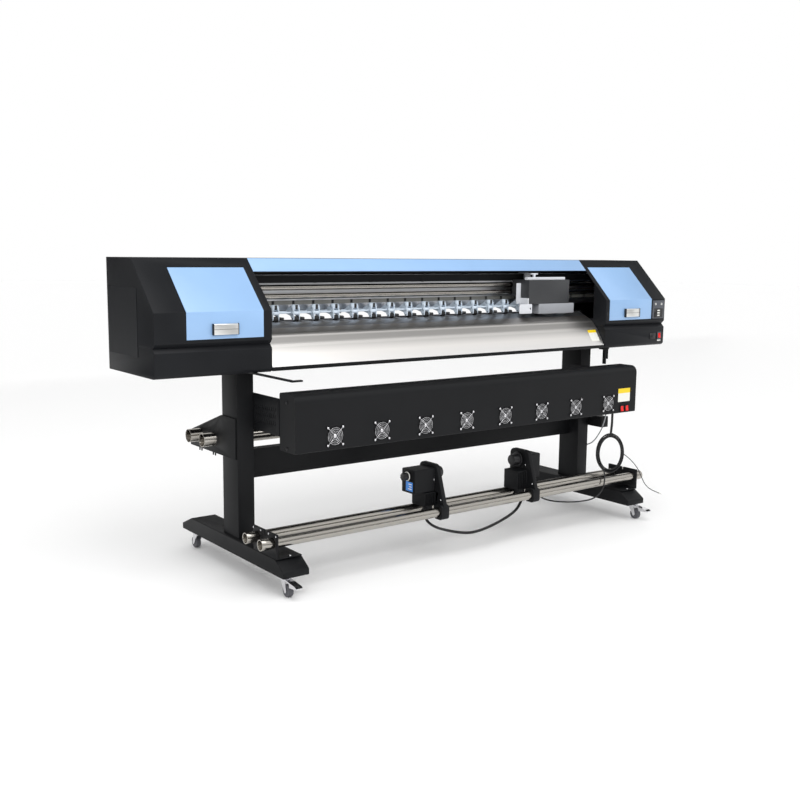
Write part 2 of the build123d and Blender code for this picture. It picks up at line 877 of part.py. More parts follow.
def carriage_end_plate():
    """The pale folded plate at the carriage's left end: a foot in front and an upright strip behind."""
    sheet = end_plate_sheet
    back = end_plate_back
    foot_top_edge = skirt_bottom - part_gap
    front_foot = block(
        end_foot_left, end_foot_right, carriage_front, carriage_front + sheet, end_foot_bottom, foot_top_edge,
    )
    front_foot = fillet(front_foot.edges().filter_by(Axis.Y), end_hole_radius)
    hole_x = (carriage_left + end_foot_right) / 2
    hole_z = (end_foot_bottom + foot_top_edge) / 2
    front_foot = front_foot - rod_y(hole_x, carriage_front - sheet, back, hole_z, end_hole_radius)
    side = block(
        carriage_left - sheet, carriage_left, carriage_front, back,
        end_foot_bottom + end_hole_radius, skirt_bottom + end_plate_width,
    )
    left = carriage_left - end_plate_width
    strip = block(left, carriage_left, back - sheet, back, skirt_bottom, end_plate_top)
    return front_foot + side + strip


def carriage_top_pieces():
    """The grey strip on the cover and the small T-shaped bracket behind it."""
    front = carriage_front + cap_strip_height
    back = front + cap_strip_depth
    right = carriage_right - cap_strip_depth
    strip = block(carriage_left, right, front, back, carriage_top, carriage_top + cap_strip_height)
    end = back + antenna_post
    rise = carriage_top + antenna_rise
    half_post = antenna_post / 2
    half_width = antenna_width / 2
    post = block(antenna_x - half_post, antenna_x + half_post, back, end, carriage_top, rise)
    bar = block(antenna_x - half_width, antenna_x + half_width, back, end, rise, rise + half_post)
    return [strip, post + bar]


def carriage_frame():
    return [carriage_runner(), carriage_end_plate()] + carriage_top_pieces()


def carriage_cover():
    profile = [
        (carriage_front, skirt_bottom), (carriage_front, carriage_top), (runner_back, carriage_top),
        (runner_back, carriage_floor), (skirt_back, carriage_floor), (skirt_back, skirt_bottom),
    ]
    wall = cover_wall
    room = [
        (carriage_front + wall, skirt_bottom - 1), (carriage_front + wall, carriage_top - wall),
        (runner_back - wall, carriage_top - wall), (runner_back - wall, carriage_floor + wall),
        (skirt_back - wall, carriage_floor + wall), (skirt_back - wall, skirt_bottom - 1),
    ]
    shell = outline_x(profile, carriage_left, carriage_right, [0, 4, 4, 0, 0, 0])
    return [shell - outline_x(room, carriage_left + wall, carriage_right - wall)]


def print_heads():
    back = skirt_back - cover_wall
    housing = block(
        head_block_left, head_block_right, carriage_front, back,
        head_block_bottom, skirt_bottom,
    )
    housing = fillet(housing.edges().filter_by(Axis.Z), end_plate_sheet)
    middle = (head_block_left + head_block_right) / 2
    inset = 2 * end_plate_sheet
    nozzles = []
    for x in (middle - nozzle_spacing / 2, middle + nozzle_spacing / 2):
        nozzles.append(block(
            x - nozzle_width / 2, x + nozzle_width / 2, carriage_front + inset, back - inset,
            head_block_bottom - nozzle_drop, head_block_bottom,
        ))
    return [housing] + nozzles


def capping_station():
    """The tray with rubber caps that the heads park on."""
    left = right_box_inner + cap_tray_inset
    right = left + cap_tray_length
    wall = cap_tray_wall
    tray = block(left, right, cap_tray_front, cap_tray_back, lower_bottom + casing_wall, cap_tray_top)
    tray = tray - block(
        left + wall, right - wall, cap_tray_front + wall, cap_tray_back - wall,
        cap_tray_floor, cap_tray_top + 1,
    )
    middle = (left + right) / 2
    caps = []
    for x in (middle - nozzle_spacing / 2, middle + nozzle_spacing / 2):
        caps.append(block(
            x - cap_width / 2, x + cap_width / 2, skirt_back - cap_depth, skirt_back, cap_tray_floor, cap_top,
        ))
    return [tray] + caps


def drive_motors_and_belt():
    """The carriage motor with its belt and pulleys, and the feed motor."""
    low = belt_level - belt_height / 2
    high = belt_level + belt_height / 2
    outer = pulley_radius + belt_sheet
    inner = pulley_radius
    reach = pulley_reach
    pieces = []
    ring = block(-reach, reach, belt_y - outer, belt_y + outer, low, high)
    room = block(-reach, reach, belt_y - inner, belt_y + inner, low - 1, high + 1)
    for x in (-reach, reach):
        ring = ring + rod_z(x, belt_y, low, high, outer)
        room = room + rod_z(x, belt_y, low - 1, high + 1, inner)
        pieces.append(rod_z(x, belt_y, low, high, inner))
    pieces.append(ring - room)
    half = motor_size / 2
    pieces.append(block(reach - half, reach + half, belt_y - half, belt_y + half, low - motor_height, low))
    pieces.append(block(-reach - half, half - reach, belt_y - half, belt_y + half, low - half, low))
    end = left_box_inner - bearing_offset - bearing_width
    pieces.append(block(
        end - motor_height, end, feed_y - half, feed_y + half, feed_height - half, feed_height + half,
    ))
    return pieces


def control_panel():
    """The keypad on the right casing and the frame of the power switch."""
    right = box_end - 10
    keypad = block(right - 92, right, head_front - 3, head_front, 1003, 1099)
    keypad = fillet(keypad.edges().filter_by(Axis.Y), 4)
    return [keypad, switch_frame(power_switch[0], head_front, power_switch[1])]


def switch_frame(x, face, z):
    half_w = rocker_width / 2 + rocker_gap
    half_h = rocker_height / 2 + rocker_gap
    rim = 5.0
    frame = block(x - half_w - rim, x + half_w + rim, face - 3, face, z - half_h - rim, z + half_h + rim)
    frame = fillet(frame.edges().filter_by(Axis.Y), 3)
    return frame - block(x - half_w, x + half_w, face - 4, face + 1, z - half_h, z + half_h)


def rocker(x, face, z):
    """A rocker paddle, resting with its upper end pressed in."""
    half = rocker_height / 2
    paddle = outline_x(
        [(-2.5, -half), (-1.0, 0), (-2.5, half), (4.0, half - 2), (6.5, 0), (4.0, 2 - half)],
        -rocker_width / 2, rocker_width / 2,
    )
    return [Pos(x, face - 1.5, z) * Rot(-rocker_tilt, 0, 0) * paddle]


# ---- Dryer --------------------------------------------------------------------
def dryer_housing():
    sheet = dryer_sheet
    outer = [
        (dryer_front, dryer_bottom), (dryer_front, dryer_top),
        (dryer_back, dryer_top), (dryer_back, dryer_bottom),
    ]
    inner = [
        (dryer_front + sheet, dryer_bottom + sheet), (dryer_front + sheet, dryer_top - sheet),
        (dryer_back - sheet, dryer_top - sheet), (dryer_back - sheet, dryer_bottom + sheet),
    ]
    soft = dryer_shoulder
    body = outline_x(outer, dryer_left, dryer_right, [6, soft, 10, 6])
    room = outline_x(inner, dryer_left + sheet, dryer_right - sheet, [4, soft - sheet, 8, 4])
    body = body - room
    for x in fan_places:
        body = body - rod_y(x, dryer_front - 1, dryer_front + 2 * sheet, fan_height, fan_bore / 2)
    for x in dryer_switch_places():
        half_w = rocker_width / 2 + rocker_gap
        half_h = rocker_height / 2 + rocker_gap
        body = body - block(
            x - half_w, x + half_w, dryer_front - 1, dryer_front + 2 * sheet,
            dryer_switch_height - half_h, dryer_switch_height + half_h,
        )
    return [body]


def dryer_switch_places():
    return (dryer_switch_left, dryer_switch_left + dryer_switch_pitch)


def dryer_switch_frames():
    return [switch_frame(x, dryer_front, dryer_switch_height) for x in dryer_switch_places()]


def dryer_bracket(face, side):
    """A folded plate from the column's side to the dryer's back, with rows of slanted slots."""
    far = face + side * bracket_sheet
    flange_end = face + side * bracket_flange
    x0, x1 = min(face, far), max(face, far)
    plate = block(
        x0, x1, dryer_back, column_front + bracket_reach, dryer_bracket_bottom, dryer_bracket_top,
    )
    plate = plate + block(
        min(face, flange_end), max(face, flange_end), dryer_back, dryer_back + bracket_sheet,
        dryer_bracket_bottom + bracket_flange, dryer_bracket_top - bracket_flange,
    )
    slot = Rot(slot_tilt, 0, 0) * Box(3 * bracket_sheet, *slot_size)
    for row in range(slot_rows):
        for i in range(slots_in_row):
            y = dryer_back + 2 * slot_pitch + i * slot_pitch
            z = slot_first_row + row * slot_row_pitch
            plate = plate - Pos((x0 + x1) / 2, y, z) * slot
    return plate


def junction_box():
    """The small black box beside the right column."""
    face = right_column_centre + column_width / 2
    width, depth, height = junction_box_size
    top = junction_box_bottom + height
    box = block(
        face, face + width, junction_box_front, junction_box_front + depth, junction_box_bottom, top,
    )
    box = fillet(box.edges().filter_by(Axis.Y), bracket_sheet)
    middle = junction_box_bottom + height / 2
    return box + block(
        face, face + bracket_sheet, junction_box_front + depth - 1, junction_box_front + depth + junction_tab,
        middle - height / 4, middle + height / 4,
    )


def dryer_brackets():
    """Slotted plates that carry the dryer on the columns, and the box beside the right one."""
    left_face = left_column_centre + column_width / 2
    right_face = right_column_centre - column_width / 2
    return [dryer_bracket(left_face, 1), dryer_bracket(right_face, -1), junction_box()]


def fan_frame(x):
    half = fan_size / 2
    front = dryer_front + dryer_sheet
    frame = block(x - half, x + half, front, front + fan_depth, fan_height - half, fan_height + half)
    frame = fillet(frame.edges().filter_by(Axis.Y), 5)
    frame = frame - rod_y(x, front - 1, front + fan_depth + 1, fan_height, fan_bore / 2)
    back = front + fan_depth
    spider = rod_y(x, back - 4, back, fan_height, hub_radius + 2)
    for i in range(4):
        arm = block(0, fan_bore / 2 + 1, back - 4, back, -2, 2)
        spider = spider + Pos(x, 0, fan_height) * Rot(0, 45 + 90 * i, 0) * arm
    return frame + spider


def fan_guard(x):
    """Four crossed bars and a ring, on four screws."""
    face = dryer_front
    guard = rod_y(x, face - 3, face, fan_height, 14) - rod_y(x, face - 4, face + 1, fan_height, 9)
    guard = guard + rod_y(x, face - 3, face, fan_height, 31) - rod_y(x, face - 4, face + 1, fan_height, 28)
    reach = fan_hole_pitch / 2 * math.sqrt(2)
    for i in range(4):
        bar = block(9.5, reach, face - 3, face, -2, 2)
        turn = Pos(x, 0, fan_height) * Rot(0, 45 + 90 * i, 0)
        guard = guard + turn * bar + turn * rod_y(reach, face - 4, face, 0, 4.5)
    return guard


def fan_housings():
    return [fan_frame(x) for x in fan_places] + [fan_guard(x) for x in fan_places]


def fan_rotors():
    rotors = []
    front = dryer_front + dryer_sheet + 2
    back = front + fan_depth - 7
    for x in fan_places:
        rotor = rod_y(x, front, back, fan_height, hub_radius)
        for i in range(blade_count):
            blade = Pos(0, (front + back) / 2, 0) * Rot(35, 0, 0) * Box(20, 1.6, 19)
            blade = Pos(hub_radius + 9, 0, 0) * blade
            rotor = rotor + Pos(x, 0, fan_height) * Rot(0, 360 * i / blade_count, 0) * blade
        rotors.append(rotor)
    return rotors


# ---- Supply rolls -------------------------------------------------------------
def supply_brackets():
    """Tapered plates on the outer faces of the columns."""
    plates = []
    for face, side in (
        (left_column_centre - column_width / 2, -1),
        (right_column_centre + column_width / 2, 1),
    ):
        far = face + side * supply_plate
        edge = column_front + column_depth
        plate = outline_x(
            [
                (column_front + 10, supply_bottom), (column_front + 10, supply_top), (edge, supply_top),
                (supply_back, supply_tip), (supply_back, supply_bottom),
            ],
            min(face, far), max(face, far),
        )
        for y in supply_tubes:
            bore = supply_radius + running_gap
            plate = plate - rod_x(min(face, far) - 1, max(face, far) + 1, y, supply_height, bore)
        plates.append(plate)
    return plates


def supply_tube(y):
    tube = rod_x(-supply_reach, supply_reach, y, supply_height, supply_radius)
    return [tube - rod_x(-supply_reach - 1, supply_reach + 1, y, supply_height, supply_radius - supply_wall)]


# ---- Take-up ------------------------------------------------------------------
def takeup_brackets():
    plates = []
    front = takeup_front - rail_radius - takeup_plate_margin
    back = takeup_back + rail_radius + takeup_plate_margin
    middle = (takeup_front + takeup_back) / 2
    notch_width, notch_depth = takeup_notch
    for side in (-1, 1):
        inner = side * (takeup_plate_centre - takeup_plate / 2)
        outer = side * (takeup_plate_centre + takeup_plate / 2)
        shelf_end = side * takeup_shelf_end
        x0, x1 = min(inner, outer), max(inner, outer)
        plate = block(x0, x1, front, back, foot_top, takeup_plate_top)
        plate = plate - block(
            x0 - 1, x1 + 1, middle - notch_width / 2, middle + notch_width / 2,
            takeup_plate_top - notch_depth, takeup_plate_top + 1,
        )
        plate = plate + block(
            min(inner, shelf_end), max(inner, shelf_end), front, back,
            foot_top, foot_top + takeup_shelf_thick,
        )
        for y in takeup_tubes:
            plate = plate - rod_x(x0 - 1, x1 + 1, y, takeup_height, rail_radius)
        plates.append(plate)
    return plates


def takeup_rails():
    tubes = []
    for y in takeup_tubes:
        tube = rod_x(-takeup_reach, takeup_reach, y, takeup_height, rail_radius)
        for side in (-1, 1):
            inner = side * (takeup_reach - collar_length)
            outer = side * takeup_reach
            tube = tube + rod_x(min(inner, outer), max(inner, outer), y, takeup_height, collar_radius)
        bore = rod_x(-takeup_reach - 1, takeup_reach + 1, y, takeup_height, rail_radius - rail_tube_wall)
        tubes.append(tube - bore)
    return tubes


def unit_plate(x0, x1):
    """The tapered stand-up plate of a take-up unit with its two sliding clamps."""
    grip = rail_radius + clamp_wall
    bottom_front = takeup_front - grip
    bottom_back = takeup_back + grip
    round_top = 26.0
    plate = outline_x(
        [
            (bottom_front, unit_waist), (chuck_y - 58, unit_top), (chuck_y + 60, unit_top),
            (bottom_back, unit_waist),
        ],
        x0, x1, [0, round_top, round_top, 0],
    )
    middle = (x0 + x1) / 2
    for y in takeup_tubes:
        clamp = block(
            middle - clamp_length / 2, middle + clamp_length / 2, y - grip, y + grip,
            clamp_bottom, unit_waist + clamp_wall,
        )
        plate = plate + fillet(clamp.edges().filter_by(Axis.X), clamp_round)
    plate = plate + block(
        x0, x1, takeup_front, takeup_back,
        takeup_height + rail_radius + 2 * part_gap, unit_waist + clamp_wall,
    )
    for y in takeup_tubes:
        plate = plate - rod_x(
            middle - clamp_length, middle + clamp_length, y, takeup_height, rail_radius + running_gap,
        )
    return plate


def cooling_fins(x0, x1, top):
    """A block between the rails and the drive with upright grooves in its front."""
    front = box_front - clamp_wall
    fins = block(x0, x1, front, box_back - clamp_wall, ribs_bottom, top)
    for i in range(rib_count):
        x = x0 + rib_slot + i * rib_pitch
        fins = fins - block(x, x + rib_slot, front - 1, box_front, ribs_bottom - 1, top - rib_slot)
    return fins


def takeup_drive_unit():
    """Plate, motor and display box, and the finned gearbox under it."""
    x0 = drive_plate_left
    left = x0 - drive_box_length
    top = drive_box_bottom + drive_box_height
    box = block(left, x0, box_front, box_back, drive_box_bottom, top)
    box = fillet(box.edges().filter_by(Axis.X), rib_slot)
    fins = cooling_fins(x0 - drive_fin_length, x0, drive_box_bottom)
    unit = unit_plate(x0, drive_unit_right) + box + fins
    unit = unit - rod_x(left - 1, drive_unit_right + 1, chuck_y, chuck_height, chuck_shaft + running_gap)
    width, height = screen_size
    screen = block(
        left - screen_thick, left, box_front + screen_inset, box_front + screen_inset + width,
        drive_box_bottom + screen_inset, drive_box_bottom + screen_inset + height,
    )
    hole = rod_x(left - screen_thick - 1, left, chuck_y, chuck_height, chuck_shaft + running_gap)
    return [unit, screen - hole]


def takeup_idler_unit():
    x1 = idler_plate_right
    right = x1 + idler_box_length
    top = idler_box_bottom + idler_box_height
    box = block(x1, right, box_front, box_back, idler_box_bottom, top)
    box = fillet(box.edges().filter_by(Axis.X), rib_slot)
    fins = cooling_fins(idler_unit_left - drive_fin_length, idler_unit_left, idler_fin_top)
    unit = unit_plate(idler_unit_left, x1) + box + fins
    unit = unit - rod_x(
        idler_unit_left - 1, right - clamp_length / 2, chuck_y, chuck_height, chuck_shaft + running_gap,
    )
    return [unit]


def chuck(face, side, back_end):
    """The plug that holds the end of a paper core; side is the way it points."""
    neck_end = face + side * chuck_neck
    flange_end = neck_end + side * flange_thick
    tip = flange_end + side * chuck_length
    piece = rod_x(min(back_end, tip), max(back_end, tip), chuck_y, chuck_height, chuck_shaft)
    near, far = min(neck_end, flange_end), max(neck_end, flange_end)
    piece = piece + rod_x(near, far, chuck_y, chuck_height, flange_radius)
    plug = rod_x(min(flange_end, tip), max(flange_end, tip), chuck_y, chuck_height, chuck_radius)
    return piece + plug


def drive_chuck():
    """The driven plug, with the hand knob on the far end of its shaft."""
    knob_start = drive_plate_left - drive_box_length - knob_gap
    knob_end = knob_start - knob_length
    piece = chuck(drive_unit_right, 1, knob_start)
    knob = rod_x(knob_end, knob_start, chuck_y, chuck_height, knob_radius)
    flute_line = knob_radius + flute_radius / 2
    for i in range(knob_flutes):
        angle = 2 * math.pi * i / knob_flutes
        knob = knob - rod_x(
            knob_end - 1, knob_start - knob_gap, chuck_y + flute_line * math.cos(angle),
            chuck_height + flute_line * math.sin(angle), flute_radius,
        )
    return [piece + knob]


def idler_chuck():
    back_end = idler_plate_right + idler_box_length - clamp_length / 2 - clamp_wall
    return [chuck(idler_unit_left, -1, back_end)]


# ---- Small outside pieces -----------------------------------------------------
def media_bar_arm():
    """The flat arm under the left end that holds the front media bar."""
    centre = left_column_centre - arm_offset
    low = lower_bottom - arm_thick
    arm = block(
        centre - arm_width / 2, centre + arm_width / 2, arm_front, column_front - arm_offset,
        low, lower_bottom,
    )
    return arm + block(
        centre - arm_width / 2, centre + arm_hook, arm_front, arm_front + arm_width, low, lower_bottom,
    )


def hook_plate():
    """The plate under the right end with two hanging fingers."""
    right = right_column_centre + hook_reach
    low = lower_bottom - arm_thick
    plate = block(
        right_box_inner + casing_wall, right, hook_front, hook_front + hook_depth, low, lower_bottom,
    )
    inset = hook_depth / 6
    first = right - hook_spacing - hook_sheet
    for x, drop in ((first, hook_long), (right - hook_sheet, hook_short)):
        plate = plate + block(
            x, x + hook_sheet, hook_front + inset, hook_front + hook_depth - inset,
            lower_bottom - drop, low + 1,
        )
    return plate


def support_arms():
    return [media_bar_arm(), hook_plate()]


# ---- Cables -------------------------------------------------------------------
def corner_radii(points):
    """0.45 of the shorter run beside each corner, over the tangent of half its turn."""
    radii = []
    for a, b, c in zip(points, points[1:], points[2:]):
        first = Vector(*b) - Vector(*a)
        second = Vector(*c) - Vector(*b)
        turn = math.radians(first.get_angle(second))
        radii.append(0.45 * min(first.length, second.length) / math.tan(turn / 2))
    return radii


def tube(name, points, diameter):
    """A cable along runs joined by tangent arcs."""
    radii = corner_radii(points)
    path = FilletPolyline(*points, radius=radii)
    first = Vector(*points[1]) - Vector(*points[0])
    section = Plane(origin=points[0], z_dir=first) * Circle(diameter / 2)
    solid = sweep(section, path=path)
    share = solid.volume / (math.pi * diameter ** 2 / 4 * path.length)
    radius = min(radii)
    print(f"{name}: {path.length:.0f} mm, least radius {radius:.1f} mm")
    print(f"    volume / (section x length): {share:.4f}")
    return solid


def from_dryer_end(points):
    """Points whose X is measured from the dryer's right end."""
    return [(dryer_right + x, y, z) for x, y, z in points]


link_route = [
    (-262, -278, 228.6), (-262, -278, 204), (-260, -284, 176), (-253, -306, 152), (-236, -338, 138),
    (-206, -360, 128), (-166, -369, 116), (-120, -372, 104), (-70, -371, 95), (-16, -370, 95),
    (40, -370, 103), (94, -369, 114), (142, -366, 126), (188, -358, 136), (232, -342, 144),
    (274, -318, 150), (310, -294, 158), (336, -282, 176), (346, -278, 204), (346, -278, 228.6),
]
motor_route = [
    (426, -262, 276), (426, -262, 250), (429, -264, 220), (440, -270, 190), (462, -284, 165),
    (496, -304, 150), (536, -326, 143), (578, -346, 139), (620, -360, 137), (664, -368, 136),
    (706, -371, 136), (748, -371, 141), (784, -372, 157), (806, -374, 184), (814, -374, 216),
    (822, -366, 246), (840, -344, 264), (858, -316, 273), (874, -290, 279), (886.9, -269.4, 282.5),
]
lead_route = from_dryer_end([
    (-101, -301, 552), (-101, -301, 524), (-103, -303, 494), (-107, -304, 462), (-108, -301, 430),
])
signal_route = from_dryer_end([
    (-132, -285, 552), (-132, -285, 526), (-125, -270, 498), (-107, -246, 468), (-81, -212, 440),
    (-53, -174, 412), (-25, -136, 386), (-1, -98, 360), (16, -64, 340), (22, -34, 326),
    (19, -6, 317), (8, 18, 311),
])
wire_route = from_dryer_end([
    (-56.8, -339.4, 336), (-39, -347, 324), (-15, -356, 303), (11, -366, 276), (33, -375, 244),
    (49, -383, 206), (65, -390, 172), (91, -396, 146), (129, -401, 126), (163, -405, 112),
])
coil_centre = (dryer_right - 108.0, -301.0, 336.0)
coil_half_width = 64.0
coil_half_height = 94.0
coil_section = 12.0
coil_turn = -37.0


def cable_coil():
    """The outer shape of the hanging loops: one closed oval ring."""
    half_w = coil_half_width
    half_h = coil_half_height
    oval = Plane.XZ * Ellipse(half_w, half_h)
    path = oval.face().outer_wire()
    section = Plane(origin=(half_w, 0, 0), z_dir=(0, 0, 1)) * Circle(coil_section)
    ring = sweep(section, path=path)
    return [Pos(*coil_centre) * Rot(0, 0, coil_turn) * ring]


def wire_connector():
    """A small plug in line with the wire's last run."""
    end = Vector(*wire_route[-1])
    along = end - Vector(*wire_route[-2])
    width, depth, length = connector_size
    return [Plane(origin=end, z_dir=along) * Pos(0, 0, length / 2) * Box(width, depth, length)]


# ---- Part list ----------------------------------------------------------------
def write(name, shapes):
    pieces = []
    for shape in shapes:
        pieces += shape.solids()
    shape = pieces[0] if len(pieces) == 1 else Compound(children=pieces)
    shape.label = name
    export_step(shape, f"parts/{name}.step")


def main():
    os.makedirs("parts", exist_ok=True)
    write("feet", [foot(x) for x in foot_pair])
    write("columns", columns())
    write("crossbeam", crossbeam())
    write("caster_plates", caster_plates())
    for name, x, y, trail in caster_places():
        write(f"{name}_caster_fork", caster_fork(x, y, trail, trail < 0))
        write(f"{name}_caster_wheel", caster_wheel(x, y, trail))
    write("left_upper_casing", left_upper_casing())
    write("right_upper_casing", right_upper_casing())
    write("left_lower_casing", left_lower_casing())
    write("right_lower_casing", right_lower_casing())
    write("top_cover", top_cover())
    write("cover_trim", cover_trim())
    write("left_door", door(left_door_left, left_door_right))
    write("right_door", door(right_door_left, right_door_right))
    write("left_door_handle", door_handle(left_door_right - left_handle_inset))
    write("right_door_handle", door_handle(right_door_left + right_handle_inset))
    write("head_base", head_base())
    write("platen", platen())
    write("front_apron", front_apron())
    write("guide_beam", guide_beam())
    write("guide_rails", guide_rails())
    write("feed_shaft", feed_shaft())
    write("pinch_arms", pinch_arms())
    write("pinch_wheels", pinch_wheels())
    write("carriage_frame", carriage_frame())
    write("carriage_cover", carriage_cover())
    write("print_heads", print_heads())
    write("capping_station", capping_station())
    write("drive_motors_and_belt", drive_motors_and_belt())
    write("control_panel", control_panel())
    write("power_rocker", rocker(power_switch[0], head_front, power_switch[1]))
    write("dryer_housing", dryer_housing() + dryer_switch_frames())
    for name, x in zip(("left", "right"), dryer_switch_places()):
        write(f"{name}_dryer_rocker", rocker(x, dryer_front, dryer_switch_height))
    write("dryer_brackets", dryer_brackets())
    write("fan_housings", fan_housings())
    write("fan_rotors", fan_rotors())
    write("supply_brackets", supply_brackets())
    write("front_supply_tube", supply_tube(supply_tubes[0]))
    write("back_supply_tube", supply_tube(supply_tubes[1]))
    write("takeup_brackets", takeup_brackets())
    write("takeup_rails", takeup_rails())
    write("takeup_drive_unit", takeup_drive_unit())
    write("drive_chuck", drive_chuck())
    write("takeup_idler_unit", takeup_idler_unit())
    write("idler_chuck", idler_chuck())
    write("support_arms", support_arms())
    write("takeup_link_cable", [tube("takeup_link_cable", link_route, link_diameter)])
    write("motor_cable", [tube("motor_cable", motor_route, motor_diameter)])
    write("dryer_lead", [tube("dryer_lead", lead_route, lead_diameter)])
    write("signal_cable", [tube("signal_cable", signal_route, signal_diameter)])
    write("connector_wire", [tube("connector_wire", wire_route, wire_diameter)])
    write("cable_coil", cable_coil())
    write("wire_connector", wire_connector())


main()
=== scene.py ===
import json
import math
import bmesh
import bpy
from mathutils import Matrix, Vector


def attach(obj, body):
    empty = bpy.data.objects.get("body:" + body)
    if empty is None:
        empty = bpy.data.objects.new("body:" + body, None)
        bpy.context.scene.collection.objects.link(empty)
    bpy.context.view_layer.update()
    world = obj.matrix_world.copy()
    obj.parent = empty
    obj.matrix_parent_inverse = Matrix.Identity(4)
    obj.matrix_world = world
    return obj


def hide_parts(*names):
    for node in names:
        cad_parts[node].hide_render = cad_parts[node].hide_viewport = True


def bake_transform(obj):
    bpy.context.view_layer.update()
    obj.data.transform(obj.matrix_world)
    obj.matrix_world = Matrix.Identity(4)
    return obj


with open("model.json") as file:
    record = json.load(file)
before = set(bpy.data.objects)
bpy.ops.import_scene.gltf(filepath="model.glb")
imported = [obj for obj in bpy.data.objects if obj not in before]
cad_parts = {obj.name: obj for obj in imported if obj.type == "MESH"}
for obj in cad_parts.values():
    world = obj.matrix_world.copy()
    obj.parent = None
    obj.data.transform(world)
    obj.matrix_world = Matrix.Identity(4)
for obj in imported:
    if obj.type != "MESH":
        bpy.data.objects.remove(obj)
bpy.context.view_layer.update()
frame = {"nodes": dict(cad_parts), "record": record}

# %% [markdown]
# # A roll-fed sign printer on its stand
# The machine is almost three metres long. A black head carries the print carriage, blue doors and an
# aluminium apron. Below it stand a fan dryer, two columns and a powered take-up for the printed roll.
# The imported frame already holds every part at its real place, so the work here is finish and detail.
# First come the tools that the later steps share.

nodes = frame["nodes"]
body_of_node = {n: b for b, names in frame["record"]["behaviour"]["bodies"].items() for n in names}
slot_of_node = {s["node"]: s["material_slot"] for s in frame["record"]["subparts"]}

# %% [markdown]
# ## The camera
# A catalogue picture of a long machine is taken from the front left corner with a moderately long
# lens, so that the near end looks large and the rails run away to the right. A Blender camera looks
# along its own -Z axis. Its three axes are worked out from a heading, a drop and a small roll, and
# put together as one matrix, which is easier to read than three chained rotations.

# %% Camera
camera_place = Vector((-2.956, -3.665, 1.337))
camera_heading = math.radians(37.03)
camera_drop = math.radians(8.36)
camera_roll = math.radians(0.63)
ahead = Vector((
    math.sin(camera_heading) * math.cos(camera_drop),
    math.cos(camera_heading) * math.cos(camera_drop),
    -math.sin(camera_drop),
))
level_right = Vector((math.cos(camera_heading), -math.sin(camera_heading), 0))
level_up = level_right.cross(ahead)
right = level_right * math.cos(camera_roll) + level_up * math.sin(camera_roll)
up = level_up * math.cos(camera_roll) - level_right * math.sin(camera_roll)
camera = bpy.data.objects.new("camera", bpy.data.cameras.new("camera"))
bpy.context.collection.objects.link(camera)
camera.data.lens = 45.05
camera.matrix_world = Matrix.Translation(camera_place) @ Matrix((right, up, -ahead)).transposed().to_4x4()
bpy.context.scene.camera = camera
print("camera stands", round(camera_place.length, 2), "m from the machine's middle")

# %% [markdown]
# ## Finishes from one recipe
# Paint, plating and moulded plastic all have two things that a flat colour lacks: a slow drift in
# tone and gloss, and a fine grain that breaks up reflections. Both can be painted, but noise read in
# object space needs no unwrapping and has the same scale on every part, because the whole machine
# shares one frame in metres. `finish` builds that pair of noises; the special finishes add to it.

# %% The shared recipe for a finish
def linear(colour):
    """A colour as seen on screen, turned into the light values that a shader mixes."""
    return tuple(c / 12.92 if c <= 0.04045 else ((c + 0.055) / 1.055) ** 2.4 for c in colour)


def finish(
    name, colour, gloss=(0.4, 0.5), metal=0.0, grain=0.0012, depth=0.00003, drift=0.08, stretch=(1, 1, 1)
):
    """A material with drifting tone and roughness, and a fine bumped grain."""
    made = bpy.data.materials.new(name)
    made.use_nodes = True
    tree = made.node_tree
    shader = tree.nodes["Principled BSDF"]
    shader.inputs["Metallic"].default_value = metal
    place = tree.nodes.new("ShaderNodeTexCoord")
    frame_scale = tree.nodes.new("ShaderNodeMapping")
    frame_scale.inputs["Scale"].default_value = stretch
    tree.links.new(place.outputs["Object"], frame_scale.inputs["Vector"])
    slow = tree.nodes.new("ShaderNodeTexNoise")
    slow.inputs["Scale"].default_value = 7.0
    slow.inputs["Detail"].default_value = 5.0
    fine = tree.nodes.new("ShaderNodeTexNoise")
    fine.inputs["Scale"].default_value = 1.0 / grain
    for noise in (slow, fine):
        tree.links.new(frame_scale.outputs["Vector"], noise.inputs["Vector"])
    tone = tree.nodes.new("ShaderNodeValToRGB")
    tone.name = "tone"
    base = linear(colour)
    tone.color_ramp.elements[0].position = 0.3
    tone.color_ramp.elements[0].color = (*[c * (1 - drift) for c in base], 1)
    tone.color_ramp.elements[1].position = 0.7
    tone.color_ramp.elements[1].color = (*[min(1, c * (1 + drift)) for c in base], 1)
    tree.links.new(slow.outputs["Fac"], tone.inputs["Fac"])
    tree.links.new(tone.outputs["Color"], shader.inputs["Base Color"])
    rough = tree.nodes.new("ShaderNodeMapRange")
    rough.inputs["To Min"].default_value = gloss[0]
    rough.inputs["To Max"].default_value = gloss[1]
    tree.links.new(slow.outputs["Fac"], rough.inputs["Value"])
    tree.links.new(rough.outputs["Result"], shader.inputs["Roughness"])
    bump = tree.nodes.new("ShaderNodeBump")
    bump.name = "grain"
    bump.inputs["Strength"].default_value = 0.6
    bump.inputs["Distance"].default_value = depth
    tree.links.new(fine.outputs["Fac"], bump.inputs["Height"])
    tree.links.new(bump.outputs["Normal"], shader.inputs["Normal"])
    return made


finishes = {}


def add_finishes(table, metal=0.0, stretch=(1, 1, 1)):
    """One finish per slot: its name, colour, roughness range, grain, grain height and drift in tone."""
    for slot, (name, colour, gloss, grain, depth, drift) in table.items():
        finishes[slot] = finish(name, colour, gloss, metal, grain, depth, drift, stretch)


print("recipe ready")

# %% [markdown]
# ## Paints
# The stand and dryer are powder coated: tiny beads melt into a skin with a fine orange peel. The
# head's casings are smoother. The doors and the roof strip are sprayed pale blue with some gloss, so
# they get a clear coat on top of a plain base.

